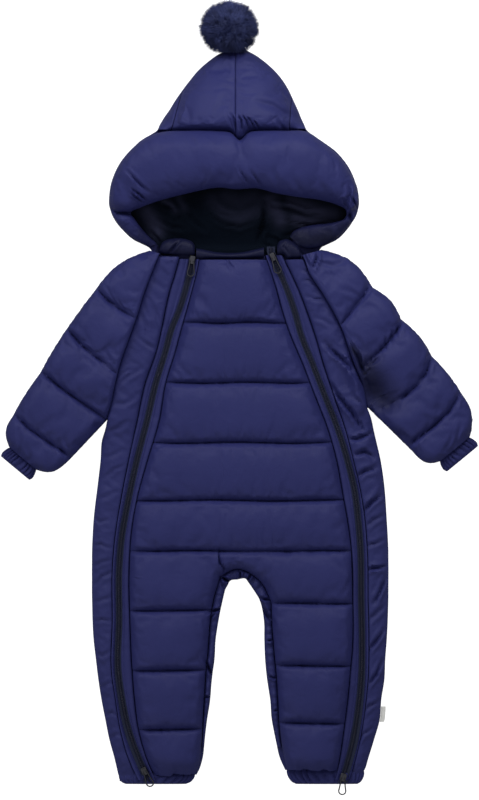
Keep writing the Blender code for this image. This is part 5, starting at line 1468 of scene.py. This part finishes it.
def uneven_dye_and_painted_shading():
    """Colour that drifts a little between two shades at random, and turns into the painted light
    and shade colour on patches.
    """
    made, start, end = group("uneven_dye_and_painted_shading", [
        ("Shade", None), ("Deep Shade", None), ("Facing", None), ("Spots Per Metre", 18.0)],
        "Color", "NodeSocketColor")
    new, link = made.nodes.new, made.links.new
    place, noise = new("ShaderNodeTexCoord"), new("ShaderNodeTexNoise")
    noise.inputs["Detail"].default_value = 3.0
    # mask of painted light and shade, read per point
    share = new("ShaderNodeAttribute")
    share.attribute_name = "facing"
    link(place.outputs["Object"], noise.inputs["Vector"])
    link(start.outputs["Spots Per Metre"], noise.inputs["Scale"])
    shade = start.outputs["Shade"]
    for amount, other in ((noise.outputs["Fac"], "Deep Shade"), (share.outputs["Fac"], "Facing")):
        mix = new("ShaderNodeMix")
        mix.data_type = "RGBA"
        link(amount, mix.inputs[0])
        link(shade, mix.inputs[6])
        link(start.outputs[other], mix.inputs[7])
        shade = mix.outputs[2]
    link(shade, end.inputs["Color"])
    return made


def fine_crumple():
    """Normal with small soft wrinkles and the weave of the cloth."""
    made, start, end = group("fine_crumple", [
        ("Wrinkle Depth", 0.0006), ("Wrinkles Per Metre", 90.0), ("Weave Depth", 0.00005)],
        "Normal", "NodeSocketVector")
    new, link = made.nodes.new, made.links.new
    place, noise = new("ShaderNodeTexCoord"), new("ShaderNodeTexNoise")
    weave = new("ShaderNodeTexWave")
    for label, value in (("Detail", 4.0), ("Roughness", 0.55), ("Distortion", 0.6)):
        noise.inputs[label].default_value = value
    weave.wave_type = "BANDS"
    weave.bands_direction = "DIAGONAL"
    weave.inputs["Scale"].default_value = WEAVE_THREADS
    link(start.outputs["Wrinkles Per Metre"], noise.inputs["Scale"])
    soft, fine = new("ShaderNodeBump"), new("ShaderNodeBump")
    for bump, pattern, depth in ((soft, noise, "Wrinkle Depth"), (fine, weave, "Weave Depth")):
        link(place.outputs["Object"], pattern.inputs["Vector"])
        link(start.outputs[depth], bump.inputs["Distance"])
        link(pattern.outputs["Fac"], bump.inputs["Height"])
    link(soft.outputs["Normal"], fine.inputs["Normal"])
    link(fine.outputs["Normal"], end.inputs["Normal"])
    return made


DYE_AND_PAINTED_SHADING, CRUMPLE = uneven_dye_and_painted_shading(), fine_crumple()


def make_material(name, colour, roughness, metallic=0.0, dye=None, crumple=None, specular=0.5,
                  facing=None):
    """dye: deep shade and spots per metre; crumple: depth, wrinkles per metre and weave depth."""
    made = bpy.data.materials.new(name)
    made.use_nodes = True
    nodes, link = made.node_tree.nodes, made.node_tree.links.new
    shader = nodes["Principled BSDF"]
    shader.inputs["Base Color"].default_value = colour
    shader.inputs["Roughness"].default_value = roughness
    shader.inputs["Metallic"].default_value = metallic
    shader.inputs["Specular IOR Level"].default_value = specular
    if dye:
        dye = colour, dye[0], facing or colour, dye[1]
    for effect, values, target in ((DYE_AND_PAINTED_SHADING, dye, "Base Color"), (CRUMPLE, crumple, "Normal")):
        if values:
            node = nodes.new("ShaderNodeGroup")
            node.node_tree = effect
            for socket, value in zip(node.inputs, values):
                socket.default_value = value
            link(node.outputs[0], shader.inputs[target])
    return made


# ---- floor, light and camera ----------------------------------------------------------------
def soft_light(name, at, target, size, watts):
    lamp = bpy.data.lights.new(name, "AREA")
    lamp.shape = "RECTANGLE"
    lamp.size, lamp.size_y = size
    lamp.energy = watts
    thing = bpy.data.objects.new(name, lamp)
    thing.location = at
    thing.rotation_euler = (Vector(target) - Vector(at)).to_track_quat("-Z", "Y").to_euler()
    thing.visible_camera = False
    place_in_scene(thing)
    return thing


def studio():
    white = make_material("studio_floor", (0.30, 0.30, 0.30, 1.0), 0.9, specular=0.0)
    shader = white.node_tree.nodes["Principled BSDF"]
    shader.inputs["Emission Color"].default_value = (1.0, 1.0, 1.0, 1.0)
    seen = white.node_tree.nodes.new("ShaderNodeLightPath")
    white.node_tree.links.new(seen.outputs["Is Camera Ray"], shader.inputs["Emission Strength"])
    half, below = FLOOR_HALF, FLOOR_LEVEL
    mesh = bpy.data.meshes.new("floor")
    mesh.from_pydata([(-half, -half, below), (half, -half, below), (half, half, below),
                      (-half, half, below)], [], [(0, 1, 2, 3)])
    mesh.materials.append(white)
    floor = bpy.data.objects.new("floor", mesh)
    place_in_scene(floor)
    # place, aim and size in metres, watts
    lights = [
        soft_light("key", (-1.9, 2.4, 2.2), (0.0, 0.0, 0.0), (1.4, 1.4), 62.0),
        soft_light("chest", (-0.10, 0.10, 1.10), (-0.02, 0.05, 0.0), (0.6, 0.6), 0.4),
        soft_light("low_fill", (-1.4, -2.2, 2.2), (0.0, -0.3, 0.0), (2.0, 1.2), 11.0),
        soft_light("hood_right", (1.5, 1.9, 1.5), (0.03, 0.33, 0.0), (1.0, 1.0), 11.0),
        soft_light("hood_near", (0.30, 0.95, 0.85), (0.04, 0.36, 0.05), (0.5, 0.5), 7.2),
    ]
    world = bpy.data.worlds.new("room")
    world.use_nodes = True
    sky = world.node_tree.nodes["Background"]
    sky.inputs["Color"].default_value = (1.0, 1.0, 1.0, 1.0)
    sky.inputs["Strength"].default_value = SKY
    scene = bpy.context.scene
    scene.world = world
    camera = bpy.data.cameras.new("camera")
    camera.lens = LENS
    camera.sensor_width = SENSOR
    camera.clip_end = 100.0
    eye = bpy.data.objects.new("camera", camera)
    eye.location = (CAMERA_X, 0.0, SEEN_AT + SEEN_LENGTH * LENS / SENSOR)
    place_in_scene(eye)
    scene.camera = eye
    scene.view_settings.view_transform = "Standard"
    scene.view_settings.look = "None"


# ---- the suit -------------------------------------------------------------------------------
# the nylon's colour turns to the painted shade colour where a piece carries the painted light and
# shade mask
nylon = make_material("navy_nylon_cloth", NAVY, 0.55, dye=(NAVY_DEEP, 14.0),
                      crumple=(0.0008, 75.0, 0.00004), specular=0.12, facing=NAVY_PAINTED_SHADE)
rib = make_material("navy_elastic_cloth", NAVY_DEEP, 0.65, dye=(NAVY, 30.0),
                    crumple=(0.0006, 160.0, 0.00006), specular=0.1)
# the lining: a near-black colour as painted shade inside the hood, turning paler as painted light
# where it carries the mask
inside = make_material("lining_cloth", LINING_COLOUR, 0.85, dye=(LINING_PALE, 22.0),
                       crumple=(0.0010, 90.0, 0.00004), specular=0.03, facing=LINING_PAINTED_LIGHT_COLOUR)
tape = make_material("zip_tape_weave", TAPE_COLOUR, 0.7, crumple=(0.0002, 400.0, 0.0001),
                     specular=0.12)
coil = make_material("zip_coil_plastic", COIL_COLOUR, 0.45, specular=0.2)
thread = make_material("sewing_thread", THREAD_COLOUR, 0.6, specular=0.15)
fur = make_material("pompom_hair", FUR_TIP, 0.6, dye=(FUR_ROOT, 60.0), specular=0.2)
fur_core = make_material("pompom_knit", FUR_ROOT, 0.9, dye=(FUR_TIP, 120.0), specular=0.1)
metal = make_material("slider_metal", METAL_COLOUR, 0.16, metallic=1.0,
                      crumple=(0.0003, 350.0, 0.0))
ribbon = make_material("label_ribbon", RIBBON_COLOUR, 0.6, crumple=(0.0002, 300.0, 0.00006))

back_panel(nylon)
front_panel(nylon)
crotch_strip(nylon)
hood_back(nylon)
hood_crown(nylon)
hood_brim(nylon)
hood_lining(inside)
for key, seed in (("front", 121), ("left", 133), ("right", 145)):
    collar(nylon, key, seed)
for side in SIDES:
    side_front(nylon, side)
    sleeve(nylon, side)
    cuff(rib, side)
    hem(rib, side)
    for place in PLACES:
        placket(nylon, side, place)
    zip_tape(tape, side)
    zip_coil(coil, side)
pompom(fur_core, fur)
side_label(ribbon)

placket_lines = []
for side in SIDES:
    for away in (-1, 1):
        beside = offset(smooth_curve(ZIP[side], 2), away * (TAPE_HALF + 2.0))
        placket_lines.append(line_of(beside, 178, -484, 260))
stitches("placket_stitches", placket_lines,
         ["placket_%s_%s_cloth" % (side, place) for side in SIDES for place in PLACES], thread)
stitches("quilt_stitches", QUILT_LINES, ["front_cloth"], thread)
sleeve_lines = [plan_to_mm(line) for side in SIDES for line in SLEEVE_SEAMS[side]]
stitches("sleeve_stitches", sleeve_lines, ["sleeve_left_cloth", "sleeve_right_cloth"], thread)

for name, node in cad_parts.items():
    if name.startswith(("slider_", "pull_")):
        node.data.materials.clear()
        node.data.materials.append(metal)

studio()
